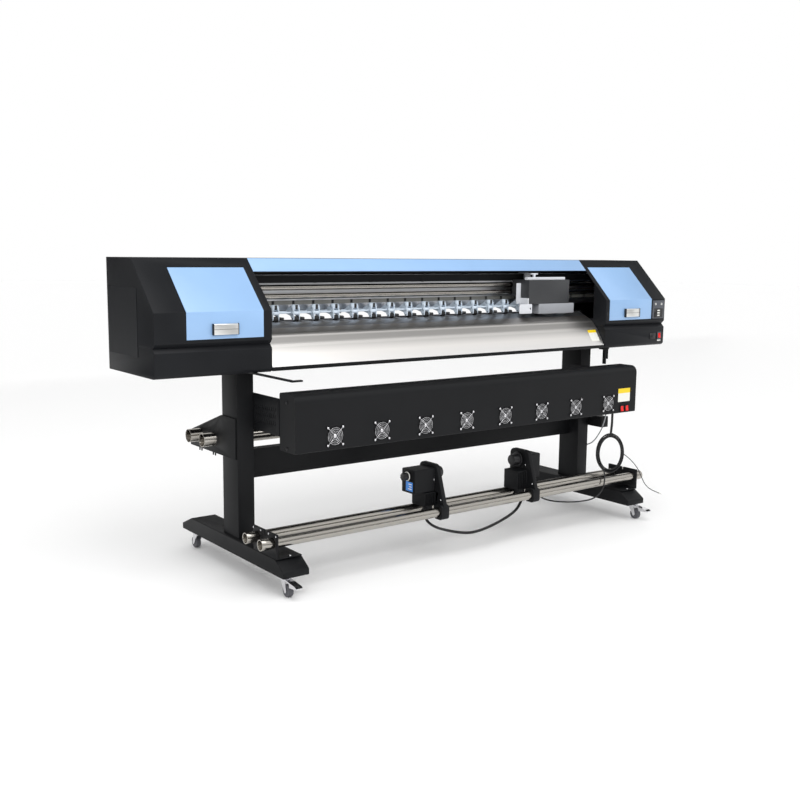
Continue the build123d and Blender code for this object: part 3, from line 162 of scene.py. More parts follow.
# %% Paints
add_finishes({
    "black_powder": ("black_powder_coat", (0.090, 0.093, 0.100), (0.42, 0.55), 0.0011, 0.00006, 0.08),
    "black_casing": ("black_casing_paint", (0.100, 0.105, 0.116), (0.38, 0.50), 0.0009, 0.00003, 0.08),
    "blue_panel": ("pale_blue_paint", (0.57, 0.71, 0.87), (0.30, 0.38), 0.0008, 0.00001, 0.02),
})
for slot_name in ("black_powder", "black_casing"):
    finishes[slot_name].node_tree.nodes["Principled BSDF"].inputs["Specular IOR Level"].default_value = 0.15
blue_shader = finishes["blue_panel"].node_tree.nodes["Principled BSDF"]
blue_shader.inputs["Coat Weight"].default_value = 0.2
blue_shader.inputs["Coat Roughness"].default_value = 0.12
print("paints:", [f.name for f in finishes.values()])

# %% [markdown]
# ## Metals
# Brushing leaves scratches in one direction. Stretching the noise along X turns round grains into
# long streaks, because a small scale along an axis makes the pattern change slowly there. Drawn steel
# tube is polished along its length, cast and plated parts have an even grain.

# %% Metals
along_x = (0.02, 1, 1)
add_finishes({
    "aluminium_plate": ("brushed_apron_plate", (0.92, 0.915, 0.91), (0.30, 0.42), 0.0016, 0.00006, 0.06),
    "aluminium_frame": ("anodised_section", (0.78, 0.785, 0.80), (0.28, 0.42), 0.0020, 0.00004, 0.08),
    "steel_tube": ("polished_tube", (0.66, 0.645, 0.62), (0.14, 0.24), 0.0018, 0.00003, 0.10),
}, metal=1.0, stretch=along_x)
add_finishes({
    "zinc_sheet": ("zinc_plated_sheet", (0.78, 0.79, 0.80), (0.25, 0.40), 0.004, 0.00002, 0.08),
    "chrome": ("bright_plating", (0.85, 0.85, 0.86), (0.08, 0.16), 0.003, 0.00001, 0.08),
}, metal=1.0)
shader_of = {slot: made.node_tree.nodes["Principled BSDF"] for slot, made in finishes.items()}
print("metals:", [slot for slot in finishes if shader_of[slot].inputs["Metallic"].default_value])

# %% [markdown]
# ## Plastics and rubber
# Moulded covers have a spark-eroded texture about a millimetre across, pinch arms are satin, keys are
# printed film, and tyres, rollers and cable jackets are matt with a slightly dusty bloom.

# %% Plastics and rubber
add_finishes({
    "carriage_grey": ("carriage_cover_plastic", (0.20, 0.205, 0.215), (0.40, 0.50), 0.0013, 0.00008, 0.08),
    "head_grey": ("print_head_housing", (0.58, 0.59, 0.61), (0.40, 0.50), 0.0012, 0.00005, 0.08),
    "pale_plastic": ("pinch_arm_plastic", (0.80, 0.85, 0.90), (0.25, 0.38), 0.0010, 0.00003, 0.03),
    "black_plastic": ("black_moulding", (0.09, 0.09, 0.10), (0.35, 0.48), 0.0011, 0.00006, 0.08),
    "keypad_grey": ("keypad_film", (0.30, 0.31, 0.34), (0.35, 0.42), 0.0007, 0.00002, 0.08),
    "red_switch": ("red_rocker", (0.88, 0.07, 0.05), (0.15, 0.22), 0.0020, 0.00001, 0.03),
    "roller_rubber": ("ground_rubber", (0.07, 0.07, 0.08), (0.55, 0.70), 0.0006, 0.00004, 0.08),
    "caster_tyre": ("caster_tread", (0.30, 0.30, 0.32), (0.45, 0.60), 0.0012, 0.00004, 0.08),
    "cable_black": ("cable_jacket", (0.06, 0.06, 0.07), (0.42, 0.55), 0.0010, 0.00003, 0.08),
    "cable_grey": ("grey_cable_jacket", (0.62, 0.63, 0.64), (0.42, 0.52), 0.0010, 0.00002, 0.08),
    "white_plastic": ("white_plug_plastic", (0.90, 0.90, 0.88), (0.20, 0.30), 0.0010, 0.00001, 0.02),
})
print("finishes made:", len(finishes))

# %% [markdown]
# ## Adding a piece
# Every new piece needs a mesh, a finish and a body to ride on; the finish is looked up by its slot's name
# unless one is given. One helper does the three, so that no piece is ever left behind when a joint moves.

# %% A helper that adds one piece
def add_piece(name, mesh, body, slot, smooth=True, made_of=None):
    """Puts a mesh in the scene with its finish and its body."""
    piece = bpy.data.objects.new(name, mesh)
    bpy.context.collection.objects.link(piece)
    mesh.materials.clear()
    mesh.materials.append(made_of or finishes[slot])
    if smooth:
        mesh.shade_smooth()
    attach(piece, body)
    return piece


def mesh_from(build, name):
    """Runs a function that fills a bmesh, and returns the mesh."""
    shape = bmesh.new()
    build(shape)
    bmesh.ops.recalc_face_normals(shape, faces=shape.faces)
    mesh = bpy.data.meshes.new(name)
    shape.to_mesh(mesh)
    shape.free()
    return mesh


print("helpers ready")

# %% [markdown]
# ## Cable routes
# A cable is a fixed length of something flexible. It leaves its gland straight, bends under its own
# weight and lies on what is under it. A few listed points steer a NURBS curve, which passes
# inside them in one smooth line. The spline's order is set after its points, because a spline with
# no points yet can't hold a higher order and would stay straight between points.

# %% Routes as smooth curves
def smooth_route(name, points):
    """A curve object through the space that the points steer it in."""
    curve = bpy.data.curves.new(name, "CURVE")
    curve.dimensions = "3D"
    spline = curve.splines.new("NURBS")
    spline.points.add(len(points) - 1)
    for knot, (x, y, z) in zip(spline.points, points):
        knot.co = (x, y, z, 1)
    spline.order_u = 3
    spline.use_endpoint_u = True
    spline.resolution_u = 8
    return bpy.data.objects.new(name, curve)


def centreline(route):
    """The points that a bare curve object gives when it is turned into a mesh."""
    mesh = bpy.data.meshes.new_from_object(route)
    return [v.co.copy() for v in mesh.vertices]


def length_of(points):
    return sum((b - a).length for a, b in zip(points, points[1:]))


def hang_cable(name, points, diameter, slot):
    """A round cable as one bevelled curve that stands for its plain tube."""
    cable = smooth_route(name + "_run", points)
    run = length_of(centreline(cable))
    cable.data.bevel_depth = diameter / 2
    cable.data.bevel_resolution = 4
    cable.data.use_fill_caps = True
    cable.data.materials.append(finishes[slot])
    bpy.context.collection.objects.link(cable)
    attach(cable, "machine")
    print(name, "is", round(run, 3), "m long")
    return cable


print("cable helpers ready")

# %% [markdown]
# ## The cables under the dryer
# A lead drops from the dryer to a hanging coil of spare cable, the motor cable runs from the second
# take-up unit under the rails and up to the same coil, a thin signal cable goes back to the right
# column, and a loose wire with a small white plug hangs out to the right.

# %% Motor cable, dryer lead, signal cable and the wire with its plug
cable_diameter = 0.007
lead_diameter = 0.012
signal_diameter = 0.006
wire_diameter = 0.004
motor_route = [
    (0.426, -0.262, 0.276), (0.426, -0.262, 0.25), (0.429, -0.264, 0.22), (0.44, -0.27, 0.19),
    (0.462, -0.284, 0.165), (0.496, -0.304, 0.15), (0.536, -0.326, 0.143), (0.578, -0.346, 0.139),
    (0.62, -0.36, 0.137), (0.664, -0.368, 0.136), (0.706, -0.371, 0.136), (0.748, -0.371, 0.141),
    (0.784, -0.372, 0.157), (0.806, -0.374, 0.184), (0.814, -0.374, 0.216), (0.822, -0.366, 0.246),
    (0.84, -0.344, 0.264), (0.858, -0.316, 0.273), (0.874, -0.29, 0.279), (0.8869, -0.2694, 0.2825),
]
lead_route = [
    (0.936, -0.301, 0.552), (0.936, -0.301, 0.524), (0.934, -0.303, 0.494), (0.93, -0.304, 0.462),
    (0.929, -0.301, 0.43),
]
signal_route = [
    (0.905, -0.285, 0.552), (0.905, -0.285, 0.526), (0.912, -0.27, 0.498), (0.93, -0.246, 0.468),
    (0.956, -0.212, 0.44), (0.984, -0.174, 0.412), (1.012, -0.136, 0.386), (1.036, -0.098, 0.36),
    (1.053, -0.064, 0.34), (1.059, -0.034, 0.326), (1.056, -0.006, 0.317), (1.045, 0.018, 0.311),
]
wire_route = [
    (0.9802, -0.3394, 0.336), (0.998, -0.347, 0.324), (1.022, -0.356, 0.303), (1.048, -0.366, 0.276),
    (1.07, -0.375, 0.244), (1.086, -0.383, 0.206), (1.102, -0.39, 0.172), (1.128, -0.396, 0.146),
    (1.166, -0.401, 0.126), (1.2, -0.405, 0.112),
]


def plug_mesh(shape):
    """A small four-way plug: a body, a narrower nose and a latch."""
    end = Vector(wire_route[-1])
    along = (end - Vector(wire_route[-2])).normalized()
    turn = along.to_track_quat("Z", "Y").to_matrix().to_4x4()
    steps = ((0.010, 0.007, 0.0, 0.011), (0.008, 0.0055, 0.011, 0.018), (0.004, 0.0069, 0.002, 0.009))
    for width, height, start, stop in steps:
        size = Matrix.Diagonal((width, height, stop - start, 1))
        move = Matrix.Translation((0, 0, (start + stop) / 2))
        box = bmesh.ops.create_cube(shape, size=1, matrix=Matrix.Translation(end) @ turn @ move @ size)
        edges = list({e for v in box["verts"] for e in v.link_edges})
        bmesh.ops.bevel(shape, geom=edges, offset=0.0006, segments=2, affect="EDGES")


plug = add_piece("white_wire_plug", mesh_from(plug_mesh, "white_wire_plug"), "machine", "white_plastic")
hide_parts("wire_connector")
motor_cable = hang_cable(
    "motor", motor_route, cable_diameter, "cable_black")
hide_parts("motor_cable")
dryer_lead = hang_cable(
    "dryer_lead", lead_route, lead_diameter, "cable_black")
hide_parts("dryer_lead")
signal_cable = hang_cable(
    "signal", signal_route, signal_diameter, "cable_grey")
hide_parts("signal_cable")
loose_wire = hang_cable(
    "loose_wire", wire_route, wire_diameter, "cable_black")
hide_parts("connector_wire")

# %% [markdown]
# ## The hanging coil
# Spare cable is gathered by hand in loose oval turns and held with a tie, so no two turns are alike.
# A loop places the turns: each one sits at its own small offset inside the bundle, and the offset
# changes smoothly from turn to turn, so the cable stays one continuous line from top to bottom.

# %% Coil of spare cable
coil_middle = Vector((0.929, -0.301, 0.336))
coil_across = Vector((math.cos(math.radians(37)), -math.sin(math.radians(37)), 0))
coil_through = Vector((math.sin(math.radians(37)), math.cos(math.radians(37)), 0))
coil_half_width = 0.064
coil_half_height = 0.094
coil_turns = 5.5
points_per_turn = 16


def coil_point(step):
    """One point of the winding; the turn counts from the top and ends at the bottom."""
    turn = step / points_per_turn
    angle = 2 * math.pi * turn
    across = coil_half_width + 0.0068 * math.sin(2.4 * turn + 0.4)
    high = coil_half_height + 0.0085 * math.cos(1.9 * turn)
    deep = 0.0075 * math.sin(1.3 * turn * 2 + 1.0)
    place = coil_middle + coil_across * across * math.sin(angle) + Vector((0, 0, high * math.cos(angle)))
    return place + coil_through * deep


coil_points = [tuple(coil_point(i)) for i in range(int(coil_turns * points_per_turn) + 1)]
coil = hang_cable(
    "spare_coil", coil_points, cable_diameter, "cable_black")
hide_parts("cable_coil")

# %% [markdown]
# ## The take-up link cable
# A ribbed flexible sleeve joins the two take-up units and sags between them. Each unit slides along
# the rails, so the sleeve is made in two halves that meet at the lowest point: each half bends
# between its own unit and the stand. The ribs are made by changing the radius from ring to ring.

# %% Ribbed sleeve in two halves
link_route = [
    (-0.262, -0.278, 0.2286), (-0.262, -0.278, 0.204), (-0.260, -0.284, 0.176), (-0.253, -0.306, 0.152),
    (-0.236, -0.338, 0.138), (-0.206, -0.360, 0.128), (-0.166, -0.369, 0.116), (-0.120, -0.372, 0.104),
    (-0.070, -0.371, 0.095), (-0.016, -0.370, 0.095), (0.040, -0.370, 0.103), (0.094, -0.369, 0.114),
    (0.142, -0.366, 0.126), (0.188, -0.358, 0.136), (0.232, -0.342, 0.144), (0.274, -0.318, 0.150),
    (0.310, -0.294, 0.158), (0.336, -0.282, 0.176), (0.346, -0.278, 0.204), (0.346, -0.278, 0.2286),
]
rib_spacing = 0.0032
rib_radius = 0.0065
groove_radius = 0.0054


def even_points(points, spacing):
    """The same line with points at an even spacing, for rings of one size."""
    spread = [points[0]]
    left = spacing
    for a, b in zip(points, points[1:]):
        step = (b - a).length
        done = 0.0
        while step - done >= left:
            done += left
            spread.append(a.lerp(b, done / step))
            left = spacing
        left -= step - done
    spread.append(points[-1])
    return spread


def tube_mesh(name, points, radius_at, sides=14):
    """Rings of vertices along a line, joined into a closed tube."""
    shape = bmesh.new()
    rings = []
    side = None
    for i, point in enumerate(points):
        before = points[max(i - 1, 0)]
        after = points[min(i + 1, len(points) - 1)]
        along = (after - before).normalized()
        side = along.orthogonal() if side is None else side - along * side.dot(along)
        side.normalize()
        other = along.cross(side)
        ring = []
        for k in range(sides):
            angle = 2 * math.pi * k / sides
            out = side * math.cos(angle) + other * math.sin(angle)
            ring.append(shape.verts.new(point + out * radius_at(i)))
        rings.append(ring)
    for low, high in zip(rings, rings[1:]):
        for k in range(sides):
            shape.faces.new((low[k], low[(k + 1) % sides], high[(k + 1) % sides], high[k]))
    shape.faces.new(rings[0])
    shape.faces.new(rings[-1])
    bmesh.ops.recalc_face_normals(shape, faces=shape.faces)
    mesh = bpy.data.meshes.new(name)
    shape.to_mesh(mesh)
    shape.free()
    return mesh


sleeve_line = even_points(centreline(smooth_route("sleeve_route", link_route)), rib_spacing / 2)
middle = len(sleeve_line) // 2
print("sleeve is", round(length_of(sleeve_line), 3), "m long with", middle, "ribs")


def sleeve_half(name, points):
    """Half of the ribbed sleeve, bending between its unit and the stand."""
    mesh = tube_mesh(name, points, lambda i: rib_radius if i % 2 else groove_radius)
    half = bpy.data.objects.new(name, mesh)
    bpy.context.collection.objects.link(half)
    mesh.materials.append(finishes["cable_black"])
    mesh.shade_smooth()
    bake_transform(half)
    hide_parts("takeup_link_cable")
    return half


sleeve_half("link_sleeve_left", sleeve_line[:middle + 1])
sleeve_half("link_sleeve_right", sleeve_line[:middle - 1:-1])

# %% [markdown]
# ## Softened edges
# No folded sheet, casting or moulding has a perfectly sharp edge: a bend has a radius and a sawn edge
# is deburred. The small radius catches a line of light, and that line is what makes a part look
# solid. A copy of the machined shape is cleaned of its inner triangulation, then a bevel modifier
# rounds every edge sharper than 35 degrees, and the copy stands for the sharp part. The carriage's
# end plate is painted white and the door handles are polished, so these copies take their own finish.

# %% A helper that rounds a part's edges
flat_fold = math.radians(0.8)
sharp_fold = math.radians(35)


def soften(node, width, segments=2):
    """A copy of a part with small radii on its edges, standing for the sharp one."""
    mesh = nodes[node].data.copy()
    shape = bmesh.new()
    shape.from_mesh(mesh)
    bmesh.ops.remove_doubles(shape, verts=shape.verts, dist=1e-6)
    bmesh.ops.dissolve_limit(shape, angle_limit=flat_fold, verts=shape.verts, edges=shape.edges)
    shape.to_mesh(mesh)
    shape.free()
    mesh.name = node + "_finished"
    piece = add_piece(node + "_finished", mesh, body_of_node[node], slot_of_node[node])
    rounding = piece.modifiers.new("deburred_edges", "BEVEL")
    rounding.width = width
    rounding.segments = segments
    rounding.limit_method = "ANGLE"
    rounding.angle_limit = sharp_fold
    rounding.use_clamp_overlap = False
    rounding.harden_normals = True
    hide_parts(node)
    return piece


edge_radius = {
    "left_upper_casing": 0.0011, "right_upper_casing": 0.0011, "left_lower_casing": 0.0011,
    "right_lower_casing": 0.0011, "left_door": 0.0009, "right_door": 0.0009, "top_cover": 0.0008,
    "cover_trim": 0.0006, "feet": 0.003, "columns": 0.0018, "crossbeam": 0.0018, "dryer_brackets": 0.0005,
    "supply_brackets": 0.0012, "takeup_brackets": 0.0015, "control_panel": 0.0008, "support_arms": 0.001,
    "carriage_cover": 0.0009, "carriage_frame": 0.0006, "print_heads": 0.0015, "pinch_arms": 0.0007,
    "takeup_drive_unit": 0.0012, "takeup_idler_unit": 0.0012, "drive_chuck": 0.0012, "idler_chuck": 0.0012,
    "left_door_handle": 0.0008, "right_door_handle": 0.0008, "platen": 0.0006, "guide_beam": 0.001,
    "takeup_rails": 0.0006, "front_supply_tube": 0.0006, "back_supply_tube": 0.0006,
    "drive_motors_and_belt": 0.0006, "capping_station": 0.001, "head_base": 0.0008,
}
softened = {node: soften(node, width) for node, width in edge_radius.items()}
carriage_white = finish(
    "white_painted_sheet", (0.84, 0.85, 0.87), (0.35, 0.45), grain=0.001, depth=0.00002, drift=0.02)
softened["carriage_frame"].data.materials[0] = carriage_white
handle_silver = finish(
    "polished_handle", (0.90, 0.90, 0.89), (0.26, 0.34), metal=0.85, grain=0.002, depth=0.00001, drift=0.03)
for node in ("left_door_handle", "right_door_handle"):
    softened[node].data.materials[0] = handle_silver
print("softened parts:", len(softened))

# %% [markdown]
# ## Parts that keep their machined shape
# The apron, rails, shaft, rollers and casters are already turned or curved. They keep their own
# meshes and only take their finish.

# %% Finishes on the remaining parts
kept = [node for node in nodes if node not in softened and slot_of_node[node] in finishes]
for node in kept:
    for place in nodes[node].material_slots:
        place.material = finishes[slot_of_node[node]]
print("kept parts:", len(kept))

# %% [markdown]
# ## Small hard parts
# Screws, stickers, keys and trim strips are cut, turned or moulded apart from the big parts and fixed
# on afterwards. Two shapes cover nearly all of them: a slab with a small radius on every edge, and a
# short turned puck with a broken rim. Both helpers only add to a mesh, so that one piece can hold many.

# %% Slabs, pucks and hoops
def slab(shape, x, y, z, rounding=0.0004):
    """A rounded box between two values on each axis."""
    size = Matrix.Diagonal((x[1] - x[0], y[1] - y[0], z[1] - z[0], 1))
    place = Matrix.Translation(((x[0] + x[1]) / 2, (y[0] + y[1]) / 2, (z[0] + z[1]) / 2))
    made = bmesh.ops.create_cube(shape, size=1, matrix=place @ size)
    edges = list({e for v in made["verts"] for e in v.link_edges})
    bmesh.ops.bevel(shape, geom=edges, offset=rounding, segments=2, affect="EDGES")


def puck(shape, centre, along, radius, height, rounding=0.0005, sides=32):
    """A short turned part that stands up from a face."""
    axis = Vector(along).normalized()
    turn = axis.to_track_quat("Z", "Y").to_matrix().to_4x4()
    place = Matrix.Translation(Vector(centre) + axis * height / 2)
    made = bmesh.ops.create_cone(
        shape, cap_ends=True, segments=sides, radius1=radius, radius2=radius, depth=height,
        matrix=place @ turn)
    edges = {e for v in made["verts"] for e in v.link_edges}
    rims = [e for e in edges if any(len(f.verts) == sides for f in e.link_faces)]
    bmesh.ops.bevel(shape, geom=rims, offset=rounding, segments=2, affect="EDGES")


def hoop(shape, centre, along, radius, wire, sides=40, round_sides=8):
    """A ring of round wire."""
    axis = Vector(along).normalized()
    across = axis.orthogonal().normalized()
    other = axis.cross(across)
    rings = []
    for i in range(sides):
        angle = 2 * math.pi * i / sides
        out = across * math.cos(angle) + other * math.sin(angle)
        ring = []
        for k in range(round_sides):
            turn = 2 * math.pi * k / round_sides
            ring.append(shape.verts.new(
                Vector(centre) + out * (radius + wire * math.cos(turn)) + axis * wire * math.sin(turn)))
        rings.append(ring)
    for i in range(sides):
        here, there = rings[i], rings[(i + 1) % sides]
        for k in range(round_sides):
            after = (k + 1) % round_sides
            shape.faces.new((here[k], here[after], there[after], there[k]))


print("small part helpers ready")

# %% [markdown]
# ## The head's end panel and trim
# The end of the box is closed by its own sheet panel, so a gap shows where it meets the folded skin.
# A thin raised sheet with rounded edges stands for that panel without cutting the casing.

# %% End panels, painted shade sheet on the beam and rail strip
def end_panels(shape):
    """A removable sheet on each end face."""
    slab(shape, (-1.4662, -1.465), (-0.026, 0.262), (0.930, 1.196), 0.0005)
    slab(shape, (1.465, 1.4662), (-0.026, 0.262), (0.930, 1.196), 0.0005)


first_clip = -1.2
clip_spacing = 0.3


def beam_shade_sheet(shape):
    """A black sheet on the guide beam above the rails, painted shade where the top cover shades the beam,
    with the clips that hold the upper rail.
    """
    slab(shape, (-1.385, 1.385), (0.0878, 0.0890), (1.2040, 1.2375))
    for k in range(9):
        place = first_clip + clip_spacing * k
        slab(shape, (place - 0.009, place + 0.009), (0.0852, 0.0884), (1.2035, 1.2140), 0.0006)


def ruler_strip(shape):
    """The pale encoder strip under the rails."""
    slab(shape, (-1.380, 1.380), (0.0880, 0.0889), (1.1110, 1.1285), 0.0002)


add_piece("end_panels", mesh_from(end_panels, "end_panels"), "machine", "black_casing", smooth=False)
# the black sheet on the beam is painted shade, where the top cover shades the beam
add_piece("beam_shade_sheet", mesh_from(beam_shade_sheet, "beam_shade_sheet"), "machine", "black_powder", smooth=False)
strip_finish = finish("encoder_strip", (0.42, 0.42, 0.40), (0.3, 0.4), metal=0.3, grain=0.002)
strip_nodes = strip_finish.node_tree.nodes
ticks = strip_nodes.new("ShaderNodeTexWave")
ticks.inputs["Scale"].default_value = 3.1
ticks_place = strip_nodes.new("ShaderNodeTexCoord")
strip_finish.node_tree.links.new(ticks_place.outputs["Object"], ticks.inputs["Vector"])
tick_edge = strip_nodes.new("ShaderNodeValToRGB")
tick_edge.color_ramp.elements[0].position = 0.02
tick_edge.color_ramp.elements[0].color = (0.01, 0.01, 0.01, 1)
tick_edge.color_ramp.elements[1].position = 0.06
tick_edge.color_ramp.elements[1].color = (0.2, 0.2, 0.185, 1)
strip_finish.node_tree.links.new(ticks.outputs["Fac"], tick_edge.inputs["Fac"])
strip_base = strip_nodes["Principled BSDF"].inputs["Base Color"]
strip_finish.node_tree.links.new(tick_edge.outputs["Color"], strip_base)
strip_mesh = mesh_from(ruler_strip, "ruler_strip")
add_piece("ruler_strip", strip_mesh, "machine", "aluminium_frame", False, strip_finish)
print("panels and strips added")

# %% [markdown]
# ## Fan grilles
# A finger guard is made of spot-welded spring wire: rings on a cross of two bent bars, plated bright
# and held at the corners by four screws. The rings are hoops of wire, and the cross lies over them.

# %% Wire guards on the eight fans
first_fan = -0.7875
fan_spacing = 0.231
fan_places = [first_fan + fan_spacing * i for i in range(8)]
fan_height = 0.609
guard_face = -0.3642
ring_radii = (0.0135, 0.0205, 0.0275, 0.0345)
ring_wire = 0.0009
hub_radius = 0.0085
screw_reach = 0.0505


def fan_grilles(shape):
    """Rings, cross and screws of every guard."""
    for x in fan_places:
        for radius in ring_radii:
            hoop(shape, (x, guard_face - 0.0010, fan_height), (0, 1, 0), radius, ring_wire)
        puck(shape, (x, guard_face, fan_height), (0, -1, 0), hub_radius, 0.0016)
        for k in range(4):
            angle = math.radians(45 + 90 * k)
            out = Vector((math.cos(angle), 0, math.sin(angle)))
            start = Vector((x, guard_face - 0.0016, fan_height)) + out * 0.008
            end = Vector((x, guard_face - 0.0016, fan_height)) + out * screw_reach
            turn = out.to_track_quat("Z", "Y").to_matrix().to_4x4()
            size = Matrix.Diagonal((0.0034, 0.0012, (end - start).length, 1))
            bmesh.ops.create_cube(shape, size=1, matrix=Matrix.Translation((start + end) / 2) @ turn @ size)
            puck(shape, tuple(end), (0, -1, 0), 0.0046, 0.0022)


add_piece("fan_grilles", mesh_from(fan_grilles, "fan_grilles"), "machine", "chrome")
print("fans guarded:", len(fan_places))

# %% [markdown]
# ## Handles, keypad and switches
# The pull cup is pressed from bright sheet between two dark moulded cheeks. The keypad is a printed
# film with a darker key block and two round lights. Beside the mains rocker sits a black inlet.

# %% Handle cheeks, keypad and switch details
handle_middle = {"left_door": -1.1745, "right_door": 1.192}


def handle_trim(centre):
    """The two cheeks of a pull cup, and a thin black strip across it that paints the shade along its fold.
    """
    def build(shape):
        for side in (-1, 1):
            low, high = sorted((centre + side * 0.0518, centre + side * 0.0545))
            slab(shape, (low, high), (-0.1935, -0.1782), (1.0165, 1.0615), 0.0012)
        # painted shade: a thin black strip along the cup's fold
        slab(shape, (centre - 0.0515, centre + 0.0515), (-0.1926, -0.1919), (1.0385, 1.0397), 0.0002)
    return build


for door, centre in handle_middle.items():
    trim_name = door + "_handle_trim"
    add_piece(trim_name, mesh_from(handle_trim(centre), trim_name), door, "black_plastic")


def key_block(shape):
    """The dark key field, the slot beside the door and the power inlet."""
    slab(shape, (1.374, 1.446), (-0.1820, -0.1808), (1.008, 1.056), 0.0005)
    slab(shape, (1.0075, 1.0135), (-0.1792, -0.1780), (1.004, 1.046), 0.0005)
    slab(shape, (1.352, 1.398), (-0.1810, -0.1780), (0.893, 0.925), 0.0012)
    puck(shape, (1.375, -0.1810, 0.909), (0, -1, 0), 0.0115, 0.0030)


def key_lights(shape):
    """Round lights, keys and the small plate under the rocker."""
    for x in (1.386, 1.434):
        hoop(shape, (x, -0.1812, 1.080), (0, 1, 0), 0.0052, 0.0011)
        puck(shape, (x, -0.1809, 1.080), (0, -1, 0), 0.0026, 0.0010)
    for z in (1.0155, 1.0285, 1.0415):
        slab(shape, (1.400, 1.420), (-0.1834, -0.1820), (z, z + 0.0075), 0.0005)
    slab(shape, (1.414, 1.442), (-0.1786, -0.1780), (0.880, 0.888), 0.0002)


add_piece("key_block", mesh_from(key_block, "key_block"), "machine", "black_plastic")
add_piece("key_lights", mesh_from(key_lights, "key_lights"), "machine", "white_plastic")
print("handles and keys added")

# %% [markdown]
# ## Stickers
# A machine like this carries plain notices at its right end: a white sheet with a yellow head. They
# are printed on film a few tenths of a millimetre thick, and no words are needed to tell what they are.

# %% Two plain stickers
yellow_film = finish("yellow_film", (0.93, 0.80, 0.08), (0.25, 0.35), drift=0.02)
white_film = finish("white_film", (0.90, 0.90, 0.87), (0.25, 0.35), drift=0.02)
apron_down = Vector((0, -0.050, -0.078)).normalized()
apron_out = Vector((0, -0.842, 0.540))


def on_apron(x0, x1, start, stop):
    """A thin sheet on the flat lower part of the apron, measured down its slope."""
    def build(shape):
        top = Vector((0, -0.126, 0.956)) + apron_out * 0.0004
        rows = []
        for lift in (0.0, 0.0003):
            for x, down in ((x0, start), (x1, start), (x1, stop), (x0, stop)):
                place = top + apron_down * down + apron_out * lift
                rows.append(shape.verts.new((x, place.y, place.z)))
        shape.faces.new(rows[:4])
        shape.faces.new(rows[4:])
        for k in range(4):
            shape.faces.new((rows[k], rows[(k + 1) % 4], rows[4 + (k + 1) % 4], rows[4 + k]))
    return build


def on_dryer(x0, x1, z0, z1):
    """A thin sheet on the dryer's front."""
    return lambda shape: slab(shape, (x0, x1), (-0.3615, -0.3610), (z0, z1), 0.0002)


stickers = {
    "apron_sticker_head": (on_apron(0.915, 0.975, 0.003, 0.019), yellow_film),
    "apron_sticker_sheet": (on_apron(0.915, 0.975, 0.019, 0.068), white_film),
    "dryer_sticker_head": (on_dryer(0.904, 0.992, 0.652, 0.676), yellow_film),
    "dryer_sticker_sheet": (on_dryer(0.904, 0.992, 0.609, 0.652), white_film),
}
for name, (build, film) in stickers.items():
    add_piece(name, mesh_from(build, name), "machine", "white_plastic", False, film)
print("stickers added:", len(stickers))

# %% [markdown]
# ## Screws
# Every bolted joint needs a screw where a spanner or key can reach it. Black ones hold the dryer's end
# caps, bright ones hold the take-up brackets, and a pair hangs under each supply bracket.

# %% Screws and bolts
def dark_screws(shape):
    for x, side in ((-0.972, -1), (1.037, 1)):
        for y, z in ((-0.296, 0.751), (-0.298, 0.566)):
            puck(shape, (x, y, z), (side, 0, 0), 0.0075, 0.0030)
            puck(shape, (x + side * 0.003, y, z), (side, 0, 0), 0.0045, 0.0015)
    for side, x in ((-1, -1.053), (1, 1.057)):
        for y in (0.164, 0.184, 0.294, 0.314):
            puck(shape, (x, y, 0.483), (0, 0, -1), 0.0032, 0.0120)


def bright_screws(shape):
    for x, side in ((-1.064, -1), (1.064, 1)):
        for y, z in ((-0.366, 0.239), (-0.309, 0.239), (-0.247, 0.239), (-0.190, 0.239)):
            puck(shape, (x, y, z), (side, 0, 0), 0.0042, 0.0030)
    for x in (-1.000, 1.000):
        for y in (-0.364, -0.192):
            puck(shape, (x, y, 0.151), (0, 0, 1), 0.0050, 0.0030)


add_piece("dark_screws", mesh_from(dark_screws, "dark_screws"), "machine", "black_plastic")
add_piece("bright_screws", mesh_from(bright_screws, "bright_screws"), "machine", "chrome")
print("screws added")

# %% [markdown]
# ## Take-up unit details
# The driven unit shows a small lit display on its end and a white ring behind its knob. Both units
# have bright bolts. Each detail rides on the unit that it is fixed to, so it slides with it.

# %% Display, ring and bolts
display_blue = finish("display_glass", (0.16, 0.42, 0.72), (0.08, 0.14), drift=0.03)
glow = display_blue.node_tree.nodes["Principled BSDF"]
glow.inputs["Emission Color"].default_value = (0.05, 0.22, 0.60, 1)
glow.inputs["Emission Strength"].default_value = 0.35


def display_pane(shape):
    slab(shape, (-0.3346, -0.3340), (-0.288, -0.240), (0.302, 0.343), 0.0002)


def display_marks(shape):
    """Plain bars on the display in place of its figures."""
    for row, length in enumerate((0.026, 0.018, 0.022)):
        low = 0.310 + row * 0.0105
        slab(shape, (-0.3350, -0.3346), (-0.282, -0.282 + length), (low, low + 0.004), 0.0001)


def knob_ring(shape):
    hoop(shape, (-0.3365, -0.250, 0.366), (1, 0, 0), 0.0185, 0.0022)


def unit_bolts(plate_x, way):
    """Bolts on a unit's plate and clamps."""
    def build(shape):
        for y, z in ((-0.345, 0.262), (-0.200, 0.262), (-0.296, 0.345)):
            puck(shape, (plate_x, y, z), (way, 0, 0), 0.0045, 0.0035)
        for y in (-0.338, -0.218):
            puck(shape, (plate_x - way * 0.010, y, 0.174), (0, 0, -1), 0.0040, 0.0050)
    return build


pane_mesh = mesh_from(display_pane, "display_pane")
add_piece("display_pane", pane_mesh, "takeup_drive", "black_plastic", False, display_blue)
add_piece("display_marks", mesh_from(display_marks, "display_marks"), "takeup_drive", "white_plastic", False)
add_piece("knob_ring", mesh_from(knob_ring, "knob_ring"), "drive_plug", "white_plastic")
add_piece("drive_bolts", mesh_from(unit_bolts(-0.220, -1), "drive_bolts"), "takeup_drive", "chrome")
add_piece("idler_bolts", mesh_from(unit_bolts(0.338, -1), "idler_bolts"), "takeup_idler", "chrome")
print("take-up details added")

